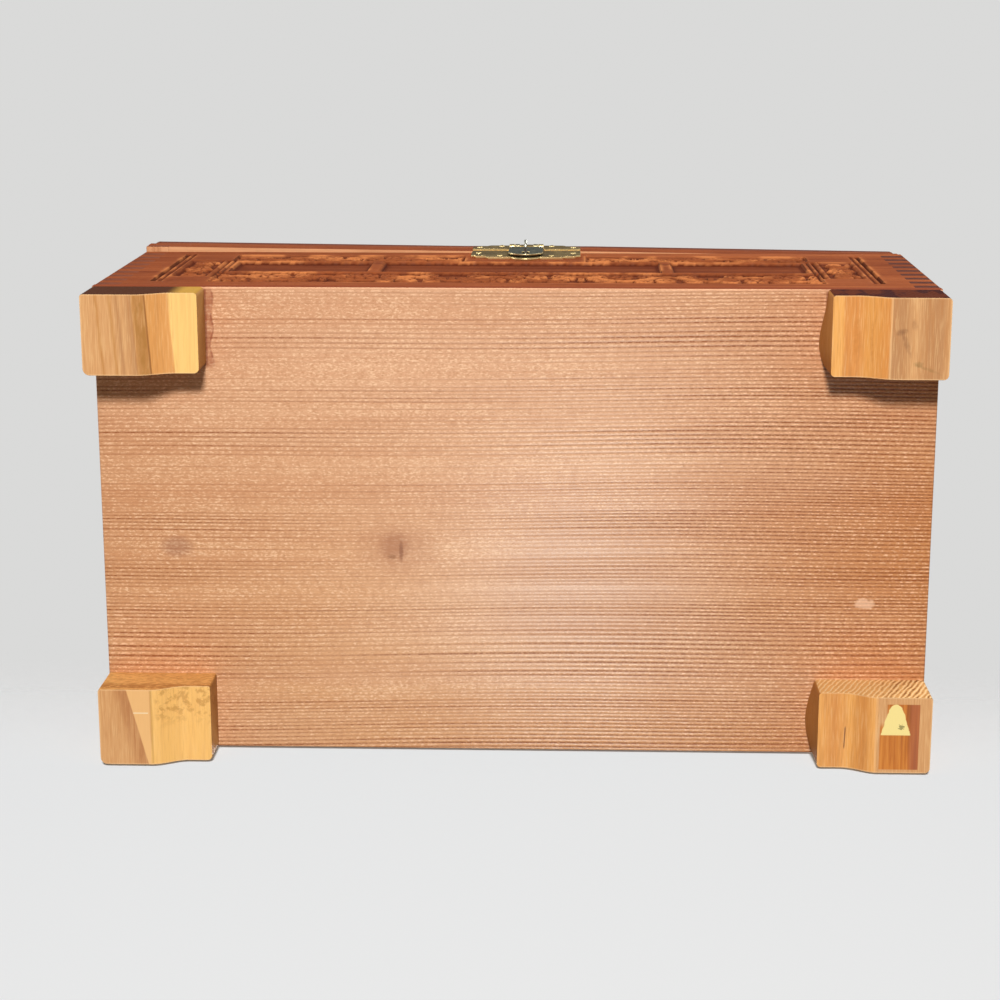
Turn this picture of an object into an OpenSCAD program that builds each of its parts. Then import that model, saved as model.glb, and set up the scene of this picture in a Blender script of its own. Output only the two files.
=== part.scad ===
// Carved keepsake box: finger-jointed camphor-style casket on four ogee feet, with a hinged lid,
// two butt hinges behind and a brass hasp and staple in front.
// Frame: the box stands on its feet at z = 0, its front faces -Y, +X is to the right seen from the front,
// and the origin is the centre of the ground rectangle that the whole object covers.

/* [Box] */
// Width of the box, left to right
body_w = 300; // [260:1:340]
// Depth of the box, front to back
body_d = 172; // [150:1:200]
// Height of the box from the underside of its bottom panel to the lid
body_h = 100; // [90:1:120]
// Thickness of the front, back and side boards
board_t = 9; // [8:0.5:11]
// Thickness of the bottom panel, which covers the whole footprint
bottom_t = 5; // [4:0.5:8]
// Number of fingers that each corner joint has, both boards counted
fingers = 18; // [8:2:24]

/* [Lid] */
// Height of the rails under the lid's top panel
rail_h = 10.5; // [9:0.5:16]
// Thickness of the lid's top panel
top_t = 9.2; // [7:0.1:12]
// Gap between the closed lid and the box
seam = 0.3; // [0.2:0.1:0.6]
// How far the lid stands in front of the box at its left end
lid_proud_left = 2; // [0:0.1:3]
// How far the lid stands in front of the box behind the latch
lid_proud_latch = 0.6; // [0:0.1:1]
// How far the lid falls short of the box at its right end
lid_short_right = 1.1; // [0:0.1:2]
// Radius of the rounded edge round the lid's top
lid_round = 2.5; // [1:0.5:4]

/* [Feet] */
// Height of the feet
foot_h = 20; // [14:1:28]
// Length of a foot along the front
foot_w = 40; // [32:1:50]
// Depth of a foot, front to back
foot_d = 28.5; // [22:0.5:40]
// Width of the flat pad that a foot stands on
pad_w = 18.5; // [12:0.5:24]
// Width of the ogee between the pad and the inner end of a foot
ogee_w = 13; // [8:0.5:14]
// Height that the ogee climbs
ogee_rise = 5; // [3:0.5:8]

/* [Carving] */
// Depth of the sunken fields
field_depth = 1.5; // [1:0.1:2.5]
// Depth of the ground in the carved bands
band_depth = 1.3; // [0.8:0.1:1.8]
// Depth of the carved forms' tops, which stand on that ground
form_depth = 0.3; // [0.1:0.1:0.5]
// Depth of the incised lines
line_depth = 0.8; // [0.4:0.1:1.5]
// Width of one incised line
line_w = 1.2; // [0.8:0.1:2]
// Height of the plain border under the lower carved band
band_low = 14; // [8:1:20]
// Height of the sunken field's lower edge above the bottom panel's underside
field_low = 42; // [36:1:50]
// Height of the sunken field's upper edge above the bottom panel's underside
field_high = 72; // [62:1:76]
// Height of the upper carved band's upper edge above the bottom panel's underside
band_high = 91; // [82:1:94]
// Distance from a face's end to its outer pair of incised lines
outer_line_in = 20; // [16:1:30]
// Distance from a face's end to its inner pair of incised lines
inner_line_in = 39; // [34:1:50]
// Width of a raised bar that divides the sunken field
divider_w = 4; // [3:0.5:8]
// Width of the plain frame round the lid's carved panel
top_frame = 16; // [10:1:30]
// Width of the carved border inside that frame
top_band = 20; // [14:1:30]
// Width of the raised bead between that border and the sunken field
top_bead = 4; // [2:0.5:8]
// Length of a whole wave of the vine in the lower carved band
low_wave = 31; // [24:1:40]
// Length of a whole wave of the vine in the upper carved band
high_wave = 23; // [18:1:32]
// Length of a whole wave of the vine in the lid's border
top_wave = 34; // [26:1:44]
// Radius of the flower in the middle of the lid, from which the forms round it take their sizes
middle_r = 15; // [12:0.5:16]

/* [Hinges] */
// Distance of each hinge from the middle of the box
hinge_x = 92; // [60:1:110]
// Width of a hinge
hinge_w = 26; // [20:1:36]
// Radius of a hinge's barrel
barrel_r = 1.75; // [1.5:0.05:2.5]
// Distance of the hinge axis inside the back face
axis_in = 1; // [0.5:0.1:1.5]
// Angle at which the bevelled back edges meet and stop the lid
lid_stop = 106.5; // [95:0.5:120]
// Thickness of a hinge leaf
leaf_t = 1; // [0.8:0.1:1.5]
// Number of knuckles in a barrel
knuckles = 5; // [3:2:7]

/* [Latch] */
// Distance of the latch to the right of the middle
latch_x = 2; // [-5:0.5:5]
// Width of the brass plates
plate_w = 42.8; // [36:0.2:50]
// Thickness of the brass plates
plate_t = 0.9; // [0.6:0.1:1.2]
// Radius of the hasp's barrel
hasp_r = 1.2; // [1:0.05:1.6]
// Height of the hasp's axis above the seam
hasp_up = 3; // [2.5:0.1:5]
// Width of the hasp
hasp_w = 13.5; // [11:0.5:16]
// Length of the hasp below its axis
hasp_len = 25; // [24.5:0.5:27]
// How far the staple stands in front of the box
staple_reach = 7.2; // [7:0.1:8]
// Radius of the staple's eye
eye_r = 1.9; // [1.5:0.1:2]

/* [Hidden] */
// Clearances: for cutters, for parts that turn past each other, and for a pin in a turning knuckle
eps = 0.01;
free = 0.2;
run = 0.05;

// Levels, from the ground up
base_z = foot_h;
board_z = base_z + bottom_t;
seam_z = base_z + body_h;
lid_z = seam_z + seam;
panel_z = lid_z + rail_h;
top_z = panel_z + top_t;
finger_h = (seam_z - board_z) / fingers;
rail_fingers = 2;
rail_finger_h = rail_h / rail_fingers;

// The front and back faces are set so that staple and hinge barrels reach equally far from the origin
barrel_reach = barrel_r - axis_in;
front_y = (staple_reach - barrel_reach - body_d) / 2;
back_y = front_y + body_d;
mid_y = (front_y + back_y) / 2;
half_w = body_w / 2;
// Middles of the two bars that divide the front's sunken field
dividers_x = [-54, 55.5];

// Plan of the lid: its back and sides follow the box, and its hand-planed front edge wanders
latch_flat = 26;
lid_plan = [
    [-half_w, back_y], [-half_w, front_y - lid_proud_left],
    [latch_x - latch_flat, front_y - lid_proud_latch], [latch_x + latch_flat, front_y - lid_proud_latch],
    [half_w, front_y + lid_short_right], [half_w, back_y]
];

// Hinge axis, in the plane midway between box and lid
axis_y = back_y - axis_in;
axis_z = seam_z + seam / 2;
hinge_pin_r = 0.75;
barrel_clear = 0.35;
leaf_in = 7;
knuckle_w = (hinge_w - free * (knuckles - 1)) / knuckles;
screw_in = 4;
screw_dx = 8;
screw_r = 0.8;
screw_head_r = 1.6;
screw_len = 7.5;

// Latch: faces that the brass lies on, and the hasp's axis
lid_face_y = front_y - lid_proud_latch;
hasp_t = 0.7;
hasp_gap = 0.15;
hasp_y = lid_face_y - hasp_r - hasp_gap;
hasp_z = lid_z + hasp_up - seam;
hasp_pin_r = 0.5;
hasp_mid_gap = 5.2;
hasp_knuckle_w = 2.1;
slot_w = 3;
slot_from = 15.9;
slot_to = 22.9;
staple_t = 1;
eye_wall = 1;
eye_y = front_y - staple_reach + eye_r + eye_wall;
eye_z = hasp_z - 19.5;
tang_w = 4;
tang_len = 6;
collar_t = 0.5;
plate_gap = 0.4;
nail_r = 0.45;
nail_head_r = 1.1;
nail_head_t = 0.5;
nail_len = 5.5;
nail_side = 18.6;
nail_near = 10;
body_nails = [[nail_side, 111.5], [nail_near, 103.5]];
lid_nails = [[nail_side, 125], [nail_near, 129]];

// Plain wood that the front's upper band leaves round the latch's plate, to each side of the latch's middle
latch_pad = plate_w / 2 + 2;

// Carved faces: room of a pair of incised lines, and the end blocks' height
line_room = 2.5 * line_w;
block_low = field_low - 14;
block_high = field_high + 2;

// Carved forms: a stem's half width, its swing as a share of the band's height, a flower's radius between two
// petals as a share of its radius, a tendril's turns and how far it winds in, and the lid's branches
stem_half = 1.1;
swing_share = 0.21;
notch_share = 0.62;
scroll_turns = 1.35;
scroll_in = 0.8;
branch_from = 26;
branch_bend = 29;

wood = [0.60, 0.31, 0.18];
pale_wood = [0.85, 0.66, 0.5];
foot_wood = [0.86, 0.66, 0.42];
brass = [0.72, 0.6, 0.36];

// A block from its lowest corner to its highest corner
module block(low, high) {
    translate(low) cube(high - low);
}

// Both ends of a face: the children for one end, and their mirror image
module both_ends() {
    children();
    mirror([1, 0, 0]) children();
}

// The fingers that one board leaves to the other at all four corners: cells first, first + 2, ...
module corner_cells(first, count, z, h) {
    for (i = [first:2:count - 1], x = [-half_w - 5, half_w - board_t], y = [front_y - 5, back_y - board_t])
        translate([x, y, z + i * h]) cube([board_t + 5, board_t + 5, h]);
}

// The V groove along the back, whose faces meet when the lid is fully open
module back_bevel() {
    fall = (axis_in + eps) * tan(lid_stop / 2);
    translate([-half_w - 1, 0, 0]) rotate([90, 0, 90]) linear_extrude(body_w + 2)
        polygon([[axis_y, axis_z], [back_y + eps, axis_z - fall], [back_y + eps, axis_z + fall]]);
}

// Screw with a countersunk head, its head flush with z = 0 and its point down
module screw_form() {
    rotate_extrude($fn = 32)
        polygon([[0, 0], [screw_head_r, 0], [screw_r, -leaf_t],
                 [screw_r, -screw_len + 1], [0, -screw_len]]);
}

module hinge_screw_forms() {
    for (x = [-screw_dx, screw_dx]) translate([x, axis_y - screw_in, 0]) screw_form();
}

// Mortise for a leaf and round the barrel, for the board below the seam
module leaf_pocket() {
    for (x = [-hinge_x, hinge_x]) translate([x, 0, 0]) {
        translate([-hinge_w / 2 - free, axis_y, axis_z]) rotate([0, 90, 0])
            cylinder(r = barrel_r + barrel_clear, h = hinge_w + 2 * free, $fn = 64);
        block([-hinge_w / 2, axis_y - leaf_in, seam_z - leaf_t], [hinge_w / 2, back_y + 1, seam_z + 1]);
        translate([0, 0, seam_z]) hinge_screw_forms();
    }
}

// What lies above the seam is the mirror image of what lies below it
module above_seam() {
    translate([0, 0, 2 * axis_z]) mirror([0, 0, 1]) children();
}

// Point at a radius and an angle
function polar(r, angle) = r * [cos(angle), sin(angle)];

// Outline of a flower of radius r, whose blunt petals have two corners each and a notch between them
module flower(r, petals) {
    step = 180 / petals;
    polygon([for (i = [0:petals - 1], p = [[-0.45, r], [0.45, r], [1, notch_share * r]])
        polar(p[1], step * (2 * i + p[0]))]);
}

// Outline of a pointed leaf that grows from the origin at an angle to the X axis
module leaf(angle, length, width) {
    rotate(angle) polygon([[0, 0], [0.42 * length, -width / 2], [length, 0], [0.42 * length, width / 2]]);
}

// Outline of a tendril that winds in from radius r, from the angle turn; hand is 1 or -1
module scroll(r, turn, hand) {
    steps = 9;
    half = r / 6;
    angles = [for (i = [0:steps]) turn + hand * 360 * scroll_turns * i / steps];
    radii = [for (i = [0:steps]) r * (1 - scroll_in * i / steps)];
    polygon(concat([for (i = [0:steps]) polar(radii[i] + half, angles[i])],
                   [for (i = [steps:-1:0]) polar(radii[i] - half, angles[i])]));
}

// Outline of a stem that waves through bends of the given length, from x = 0
module stem(bends, bend, swing) {
    steps = 4 * bends;
    wave = [for (i = [0:steps]) [bend * i / 4, swing * sin(45 * i)]];
    polygon(concat([for (p = wave) p - [0, stem_half]], [for (i = [steps:-1:0]) wave[i] + [0, stem_half]]));
}

// A waving stem from x = low[0] to high[0], which fills the height from low[1] to high[1], with a flower,
// a tendril or three leaves in each of its bends; first says which of them comes first
module vine(low, high, wave, first) {
    tall = high[1] - low[1];
    bends = max(2, round(2 * (high[0] - low[0]) / wave));
    bend = (high[0] - low[0]) / bends;
    r = min(0.27 * tall, 0.3 * bend);
    translate([low[0], (low[1] + high[1]) / 2]) {
        stem(bends, bend, swing_share * tall);
        for (k = [0:bends - 1]) translate([(k + 0.5) * bend, 0]) {
            side = k % 2 == 0 ? 1 : -1;
            kind = (k + first) % 3;
            if (kind == 0) translate([0, -0.17 * side * tall]) flower(1.12 * r, [6, 5, 8][floor(k / 3) % 3]);
            if (kind == 1) translate([0, -0.18 * side * tall]) scroll(r, 90 * side, side);
            if (kind == 2) for (d = [-1, 0, 1])
                translate([0.35 * d * r, 0.1 * side * tall])
                    leaf(-side * (90 - 43 * d), (1.75 - 0.25 * abs(d)) * r, 0.62 * r);
        }
    }
}

// Incised pair of lines, upright at x, on a face that looks towards -Y and lies at y = 0
module line_pair(x, low, high) {
    for (dx = [-1.5 * line_w, 0.5 * line_w]) block([x + dx, -1, low], [x + dx + line_w, line_depth, high]);
}

// The outlines of the forms that stand in a carved face: a vine along the lower band and along each stretch
// of the upper band, and in each end block a flower between leaves and two tendrils
module face_forms(inner, outer, upper) {
    vine([-inner + 1, band_low + 1], [inner - 1, field_low - 2], low_wave, 0);
    for (s = upper) vine([s[0] + 1, field_high + 2], [s[1] - 1, band_high - 1], high_wave, 1);
    room = outer - inner - 2 * line_room;
    for (side = [-1, 1]) translate([side * (inner + outer) / 2, (block_low + block_high) / 2]) {
        flower(0.44 * room, 8);
        for (up = [-1, 1]) {
            for (turn = [54, 126]) translate([0, 0.43 * up * room]) leaf(up * turn, 0.5 * room, 0.26 * room);
            translate([0, up * (block_high - block_low - room) / 2]) scroll(0.36 * room, 17, -up * side);
        }
    }
}

// Everything sunk into a carved face of the given width that looks towards -Y and lies at y = 0, with z
// counted from the bottom panel's underside: carved bands, divided plain field, end blocks, incised lines.
// upper lists the stretches of the upper band, by where they start and end.
module face_carving(width, dividers, upper) {
    inner = width / 2 - inner_line_in;
    outer = width / 2 - outer_line_in;
    behind = band_depth + 1;
    both_ends() {
        line_pair(outer, band_low, band_high + 2);
        line_pair(inner, block_low - 2, block_high + 1);
    }
    difference() {
        union() {
            both_ends()
                block([inner + line_room, -1, block_low], [outer - line_room, band_depth, block_high]);
            block([-inner, -1, band_low], [inner, band_depth, field_low - 1]);
            for (s = upper) block([s[0], -1, field_high + 1], [s[1], band_depth, band_high]);
        }
        translate([0, behind, 0]) rotate([90, 0, 0])
            linear_extrude(behind - form_depth) face_forms(inner, outer, upper);
    }
    difference() {
        block([-inner + line_room, -1, field_low], [inner - line_room, field_depth, field_high]);
        for (x = dividers)
            block([x - divider_w / 2, -2, field_low], [x + divider_w / 2, field_depth + 1, field_high]);
    }
}

// One corner's worth of board height at both ends
module board_stock(low, high) {
    block([low[0], low[1], board_z], [high[0], high[1], seam_z]);
}

module bottom_panel() {
    color(pale_wood) block([-half_w, front_y, base_z], [half_w, back_y, board_z]);
}

module front_board() {
    inner = half_w - inner_line_in;
    upper = [[-inner, latch_x - latch_pad], [latch_x + latch_pad, inner]];
    color(wood) difference() {
        board_stock([-half_w, front_y], [half_w, front_y + board_t]);
        corner_cells(0, fingers, board_z, finger_h);
        translate([0, front_y, base_z]) face_carving(body_w, dividers_x, upper);
        translate([latch_x, front_y, 0]) staple_tang(tang_len);
        body_nail_holes();
    }
}

module back_board() {
    color(wood) difference() {
        board_stock([-half_w, back_y - board_t], [half_w, back_y]);
        corner_cells(0, fingers, board_z, finger_h);
        back_bevel();
        leaf_pocket();
    }
}

// Side board with its carved face outwards; side is -1 for the left and 1 for the right
module side_board(side) {
    outer = side * half_w;
    inner = side * (half_w - board_t);
    band_end = body_d / 2 - inner_line_in;
    color(wood) difference() {
        board_stock([min(outer, inner), front_y], [max(outer, inner), back_y]);
        corner_cells(1, fingers, board_z, finger_h);
        translate([outer, mid_y, base_z]) rotate([0, 0, 90 * side])
            face_carving(body_d, [], [[-band_end, band_end]]);
        back_bevel();
    }
}

// Foot with its pad at the outer end; the outline is drawn from the outer end inwards
module foot(side, y) {
    steps = 12;
    ogee = [for (i = [0:steps]) [pad_w + ogee_w * i / steps, ogee_rise * (1 - cos(180 * i / steps)) / 2]];
    outline = concat([[0, foot_h], [0, 0]], ogee, [[foot_w, ogee_rise], [foot_w, foot_h]]);
    color(foot_wood) translate([side * half_w, y + foot_d, 0]) mirror([side > 0 ? 1 : 0, 0, 0])
        rotate([90, 0, 0]) linear_extrude(foot_d) polygon(outline);
}

// A disc with a rounded upper edge, one corner of the lid's top panel
module lid_corner() {
    translate([0, 0, panel_z]) rotate_extrude($fn = 24) {
        square([lid_round, top_t - lid_round]);
        intersection() {
            translate([0, top_t - lid_round]) circle(r = lid_round, $fn = 24);
            square([lid_round, top_t]);
        }
    }
}

// One convex stretch of the lid's top panel, with a rounded corner at each point of its plan
module lid_stretch(points) {
    hull() for (p = points)
        translate([abs(p[0]) < half_w ? p[0] : p[0] - sign(p[0]) * lid_round,
                   p[1] + (p[1] < mid_y ? lid_round : -lid_round), 0]) lid_corner();
}

// The outlines in the lid's border, which runs from the half sizes outer in to the half sizes inner: a vine
// along each side and a flower in each corner
module border_forms(outer, inner) {
    edge = [0, 1.5];
    vine([-inner[0], -outer[1]] + edge, [inner[0], -inner[1]] - edge, top_wave, 0);
    vine([-inner[0], inner[1]] + edge, [inner[0], outer[1]] - edge, top_wave, 1);
    mirror([1, -1, 0]) {
        vine([-inner[1], -outer[0]] + edge, [inner[1], -inner[0]] - edge, top_wave, 2);
        vine([-inner[1], inner[0]] + edge, [inner[1], outer[0]] - edge, top_wave, 0);
    }
    for (sx = [-1, 1], sy = [-1, 1])
        translate([sx * (outer[0] + inner[0]), sy * (outer[1] + inner[1])] / 2) flower(0.38 * top_band, 8);
}

// The outlines in the lid's sunken middle: a large flower among eight leaves, and to each side a waving
// branch with three tendrils, three pairs of leaves and a flower at its end
module middle_forms() {
    r = middle_r;
    flower(r, 8);
    for (k = [0:7]) rotate(45 * (k + 0.5)) translate([0.9 * r, 0]) leaf(0, 0.87 * r, 0.4 * r);
    for (side = [-1, 1]) {
        mirror([side > 0 ? 0 : 1, 0, 0]) translate([branch_from, 0]) stem(2, branch_bend, 0.6 * r * side);
        for (k = [0:2]) {
            up = k % 2 == 0 ? side : -side;
            x = branch_from + branch_bend * (0.35 + 0.55 * k);
            translate([side * x, -0.8 * r * up]) scroll(0.43 * r, 68 * up * side, up);
            for (lean = [-23, 23])
                translate([side * (x + 0.2 * r), 0.6 * r * up]) leaf(90 * up + lean, r, 0.43 * r);
        }
        translate([side * (branch_from + 2 * branch_bend + 2), 0]) flower(0.53 * r, 6);
    }
}

// The plan is hollow at the latch's left end, so the panel is made of the two stretches that meet there
module lid_top_panel() {
    half = [half_w, body_d / 2];
    border = half - [top_frame, top_frame];
    bead = border - [top_band, top_band];
    field = bead - [top_bead, top_bead];
    split = [latch_x - latch_flat, back_y];
    color(wood) difference() {
        union() {
            lid_stretch([lid_plan[0], lid_plan[1], lid_plan[2], split]);
            lid_stretch([split, lid_plan[2], lid_plan[3], lid_plan[4], lid_plan[5]]);
        }
        translate([0, mid_y, top_z]) difference() {
            union() {
                difference() {
                    block([-border[0], -border[1], -band_depth], [border[0], border[1], 1]);
                    block([-bead[0], -bead[1], -2 * band_depth], [bead[0], bead[1], 2]);
                }
                block([-field[0], -field[1], -field_depth], [field[0], field[1], 1]);
            }
            translate([0, 0, -2 * field_depth]) linear_extrude(2 * field_depth - form_depth) {
                border_forms(border, bead);
                middle_forms();
            }
        }
    }
}

// The part of the lid's rails inside a plan box, with corner fingers left out from cell first
module rail(low, high, first) {
    difference() {
        intersection() {
            translate([0, 0, lid_z]) linear_extrude(rail_h) polygon(lid_plan);
            block([low[0], low[1], lid_z - 1], [high[0], high[1], panel_z + 1]);
        }
        corner_cells(first, rail_fingers, lid_z, rail_finger_h);
        back_bevel();
        above_seam() leaf_pocket();
        lid_nail_holes();
    }
}

module lid_front_rail() {
    color(wood) rail([-half_w - 1, front_y - 5], [half_w + 1, front_y + board_t], 0);
}

module lid_back_rail() {
    color(wood) rail([-half_w - 1, back_y - board_t], [half_w + 1, back_y + 1], 0);
}

module lid_left_rail() {
    color(wood) rail([-half_w - 1, front_y - 5], [-half_w + board_t, back_y + 1], 1);
}

module lid_right_rail() {
    color(wood) rail([half_w - board_t, front_y - 5], [half_w + 1, back_y + 1], 1);
}

// Knuckles of a barrel from cell first, every second one, about the hinge axis
module barrel_cells(first, r, extra) {
    for (i = [first:2:knuckles - 1])
        translate([-hinge_w / 2 + i * (knuckle_w + free) - extra, axis_y, axis_z]) rotate([0, 90, 0])
            cylinder(r = r, h = knuckle_w + 2 * extra, $fn = 64);
}

// Half of a hinge, with its leaf below the seam; cells first, first + 2, ... of the barrel are its own
module hinge_half(first, bore) {
    color(brass) difference() {
        union() {
            difference() {
                block([-hinge_w / 2, axis_y - leaf_in, seam_z - leaf_t], [hinge_w / 2, axis_y, seam_z]);
                barrel_cells(1 - first, barrel_r + free, free);
            }
            barrel_cells(first, barrel_r, 0);
        }
        translate([-hinge_w, axis_y, axis_z]) rotate([0, 90, 0])
            cylinder(r = bore, h = 2 * hinge_w, $fn = 64);
        translate([0, 0, seam_z]) hinge_screw_forms();
    }
}

module hinge_pin() {
    color(brass) translate([-hinge_w / 2, axis_y, axis_z]) rotate([0, 90, 0])
        cylinder(r = hinge_pin_r, h = hinge_w, $fn = 64);
}

module hinge_screws() {
    slot = 0.4;
    color(brass) for (x = [-hinge_x, hinge_x]) translate([x, 0, seam_z]) difference() {
        hinge_screw_forms();
        for (dx = [-screw_dx, screw_dx])
            block([dx - screw_head_r, axis_y - screw_in - slot / 2, -slot],
                  [dx + screw_head_r, axis_y - screw_in + slot / 2, 1]);
    }
}

// Half of a plate's outline, right of the latch's middle: a round tongue, a step and a shallower wing,
// measured away from the seam
module plate_outline(start, wing, inner, tongue) {
    step_x = 15.5;
    round_r = 6;
    nick_r = 0.9;
    difference() {
        union() {
            translate([0, start]) square([plate_w / 2, wing - start]);
            translate([0, start]) square([step_x, inner - start]);
            translate([0, tongue - round_r]) circle(r = round_r, $fn = 48);
        }
        translate([plate_w / 2, wing]) circle(r = 2, $fn = 32);
        translate([step_x, inner]) circle(r = nick_r, $fn = 24);
        translate([-plate_w, start - 1]) square([plate_w, tongue]);
    }
}

// A brass plate whose outline is given upwards, against a face at y, both halves
module plate(y) {
    translate([latch_x, y, 0]) both_ends() rotate([90, 0, 0]) linear_extrude(plate_t) children();
}

// The staple's tang behind the front face and through its plate
module staple_tang(depth) {
    block([-staple_t / 2, -plate_t, eye_z - tang_w / 2], [staple_t / 2, depth, eye_z + tang_w / 2]);
}

module nail_form() {
    rotate([90, 0, 0]) {
        translate([0, 0, -nail_len]) cylinder(r = nail_r, h = nail_len + plate_t + eps, $fn = 24);
    }
}

// The children at a plate's four nails, which lie at the given places in a face at y
module at_nails(places, y) {
    for (p = places) translate([latch_x, y, p[1]]) both_ends() translate([p[0], 0, 0]) children();
}

module body_nail_holes() {
    at_nails(body_nails, front_y) nail_form();
}

module lid_nail_holes() {
    at_nails(lid_nails, lid_face_y) nail_form();
}

// A pin in the wood with a domed head on the plate
module nail() {
    rotate([90, 0, 0]) {
        translate([0, 0, -nail_len]) cylinder(r = nail_r, h = nail_len + plate_t, $fn = 24);
        translate([0, 0, plate_t]) rotate_extrude($fn = 32)
            polygon([[0, 0], [nail_head_r, 0], [nail_head_r * 0.8, nail_head_t * 0.7],
                     [nail_head_r * 0.4, nail_head_t], [0, nail_head_t]]);
    }
}

module latch_body_plate() {
    color(brass) difference() {
        plate(front_y) translate([0, seam_z - plate_gap]) mirror([0, 1])
            plate_outline(0, 16.6, 19.6, 24.1);
        translate([latch_x, front_y, 0]) staple_tang(tang_len);
        body_nail_holes();
    }
}

// The staple: a flat eye that stands out through the hasp's slot, on a collar and a tang
module staple() {
    outer_r = eye_r + eye_wall;
    color(brass) translate([latch_x, 0, 0]) {
        translate([0, front_y, 0]) staple_tang(tang_len);
        difference() {
            union() {
                translate([-staple_t / 2, eye_y, eye_z]) rotate([0, 90, 0])
                    cylinder(r = outer_r, h = staple_t, $fn = 64);
                block([-staple_t / 2, eye_y, eye_z - outer_r],
                      [staple_t / 2, front_y - plate_t, eye_z + outer_r]);
                block([-staple_t, front_y - plate_t - collar_t, eye_z - outer_r],
                      [staple_t, front_y - plate_t, eye_z + outer_r]);
            }
            translate([-staple_t, eye_y, eye_z]) rotate([0, 90, 0])
                cylinder(r = eye_r, h = 2 * staple_t, $fn = 64);
        }
    }
}

module hasp_axis_cylinder(x, r, h) {
    translate([x, hasp_y, hasp_z]) rotate([0, 90, 0]) cylinder(r = r, h = h, $fn = 48);
}

// Lid plate, notched for the hasp, with the hinge's two outer knuckles rolled from its lower edge
module latch_lid_plate() {
    notch = hasp_w / 2 + free;
    notch_z = hasp_z + hasp_r + free;
    color(brass) difference() {
        union() {
            difference() {
                plate(lid_face_y) translate([0, lid_z + plate_gap]) plate_outline(0, 8.8, 11.3, 14.8);
                block([latch_x - notch, lid_face_y - 3, lid_z], [latch_x + notch, lid_face_y + 1, notch_z]);
            }
            translate([latch_x, 0, 0]) both_ends() {
                hasp_axis_cylinder(hasp_w / 2 - hasp_knuckle_w, hasp_r, hasp_knuckle_w);
                block([hasp_w / 2 - hasp_knuckle_w, lid_face_y - plate_t, hasp_z],
                      [hasp_w / 2, lid_face_y - hasp_gap, notch_z + eps]);
            }
        }
        translate([latch_x, 0, 0]) hasp_axis_cylinder(-hasp_w, hasp_pin_r, 2 * hasp_w);
        lid_nail_holes();
    }
}

// The hasp: a round-ended tongue with a slot for the staple and two knuckles between the plate's own
module hasp() {
    knuckle_from = hasp_mid_gap / 2;
    knuckle_to = hasp_w / 2 - hasp_knuckle_w - free / 2;
    round_z = hasp_z - hasp_len + hasp_w / 2;
    tongue_top = hasp_z - hasp_r - free;
    color(brass) difference() {
        union() {
            translate([latch_x, hasp_y + hasp_t / 2, 0]) rotate([90, 0, 0]) linear_extrude(hasp_t)
                difference() {
                    union() {
                        translate([0, round_z]) circle(r = hasp_w / 2, $fn = 64);
                        translate([-hasp_w / 2, round_z]) square([hasp_w, tongue_top - round_z]);
                        for (x = [-knuckle_to, knuckle_from]) translate([x, tongue_top - 1])
                            square([knuckle_to - knuckle_from, hasp_z - tongue_top + 1]);
                    }
                    for (r = [slot_from + slot_w / 2, slot_to - slot_w / 2])
                        translate([0, hasp_z - r]) circle(r = slot_w / 2, $fn = 32);
                    translate([-slot_w / 2, hasp_z - slot_to + slot_w / 2])
                        square([slot_w, slot_to - slot_from - slot_w]);
                }
            for (x = [-knuckle_to, knuckle_from])
                hasp_axis_cylinder(latch_x + x, hasp_r, knuckle_to - knuckle_from);
        }
        hasp_axis_cylinder(latch_x - hasp_w, hasp_pin_r + run, 2 * hasp_w);
    }
}

module hasp_pin() {
    color(brass) hasp_axis_cylinder(latch_x - hasp_w / 2, hasp_pin_r, hasp_w);
}

module body_plate_nails() {
    color(brass) at_nails(body_nails, front_y) nail();
}

module lid_plate_nails() {
    color(brass) at_nails(lid_nails, lid_face_y) nail();
}

bottom_panel();
front_board();
back_board();
side_board(-1);  // left_board
side_board(1);  // right_board
foot(-1, front_y);  // foot_front_left
foot(1, front_y);  // foot_front_right
foot(-1, back_y - foot_d);  // foot_back_left
foot(1, back_y - foot_d);  // foot_back_right
lid_top_panel();
lid_front_rail();
lid_back_rail();
lid_left_rail();
lid_right_rail();
translate([-hinge_x, 0, 0]) hinge_half(0, hinge_pin_r);  // left_hinge_body_leaf
translate([-hinge_x, 0, 0]) above_seam() hinge_half(1, hinge_pin_r + run);  // left_hinge_lid_leaf
translate([-hinge_x, 0, 0]) hinge_pin();  // left_hinge_pin
translate([hinge_x, 0, 0]) hinge_half(0, hinge_pin_r);  // right_hinge_body_leaf
translate([hinge_x, 0, 0]) above_seam() hinge_half(1, hinge_pin_r + run);  // right_hinge_lid_leaf
translate([hinge_x, 0, 0]) hinge_pin();  // right_hinge_pin
hinge_screws();  // hinge_screws_body
above_seam() hinge_screws();  // hinge_screws_lid
latch_body_plate();
staple();
latch_lid_plate();
hasp();
hasp_pin();
body_plate_nails();
lid_plate_nails();
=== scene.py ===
# Dresses the carved keepsake box: carved boards, ridged bottom, sawn feet and aged brass, then stage, light.
# Lengths are in millimetres in the row frame until a mesh is made, which is in metres.
import math

import bpy
import numpy as np
from mathutils import Matrix, Vector


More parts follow.
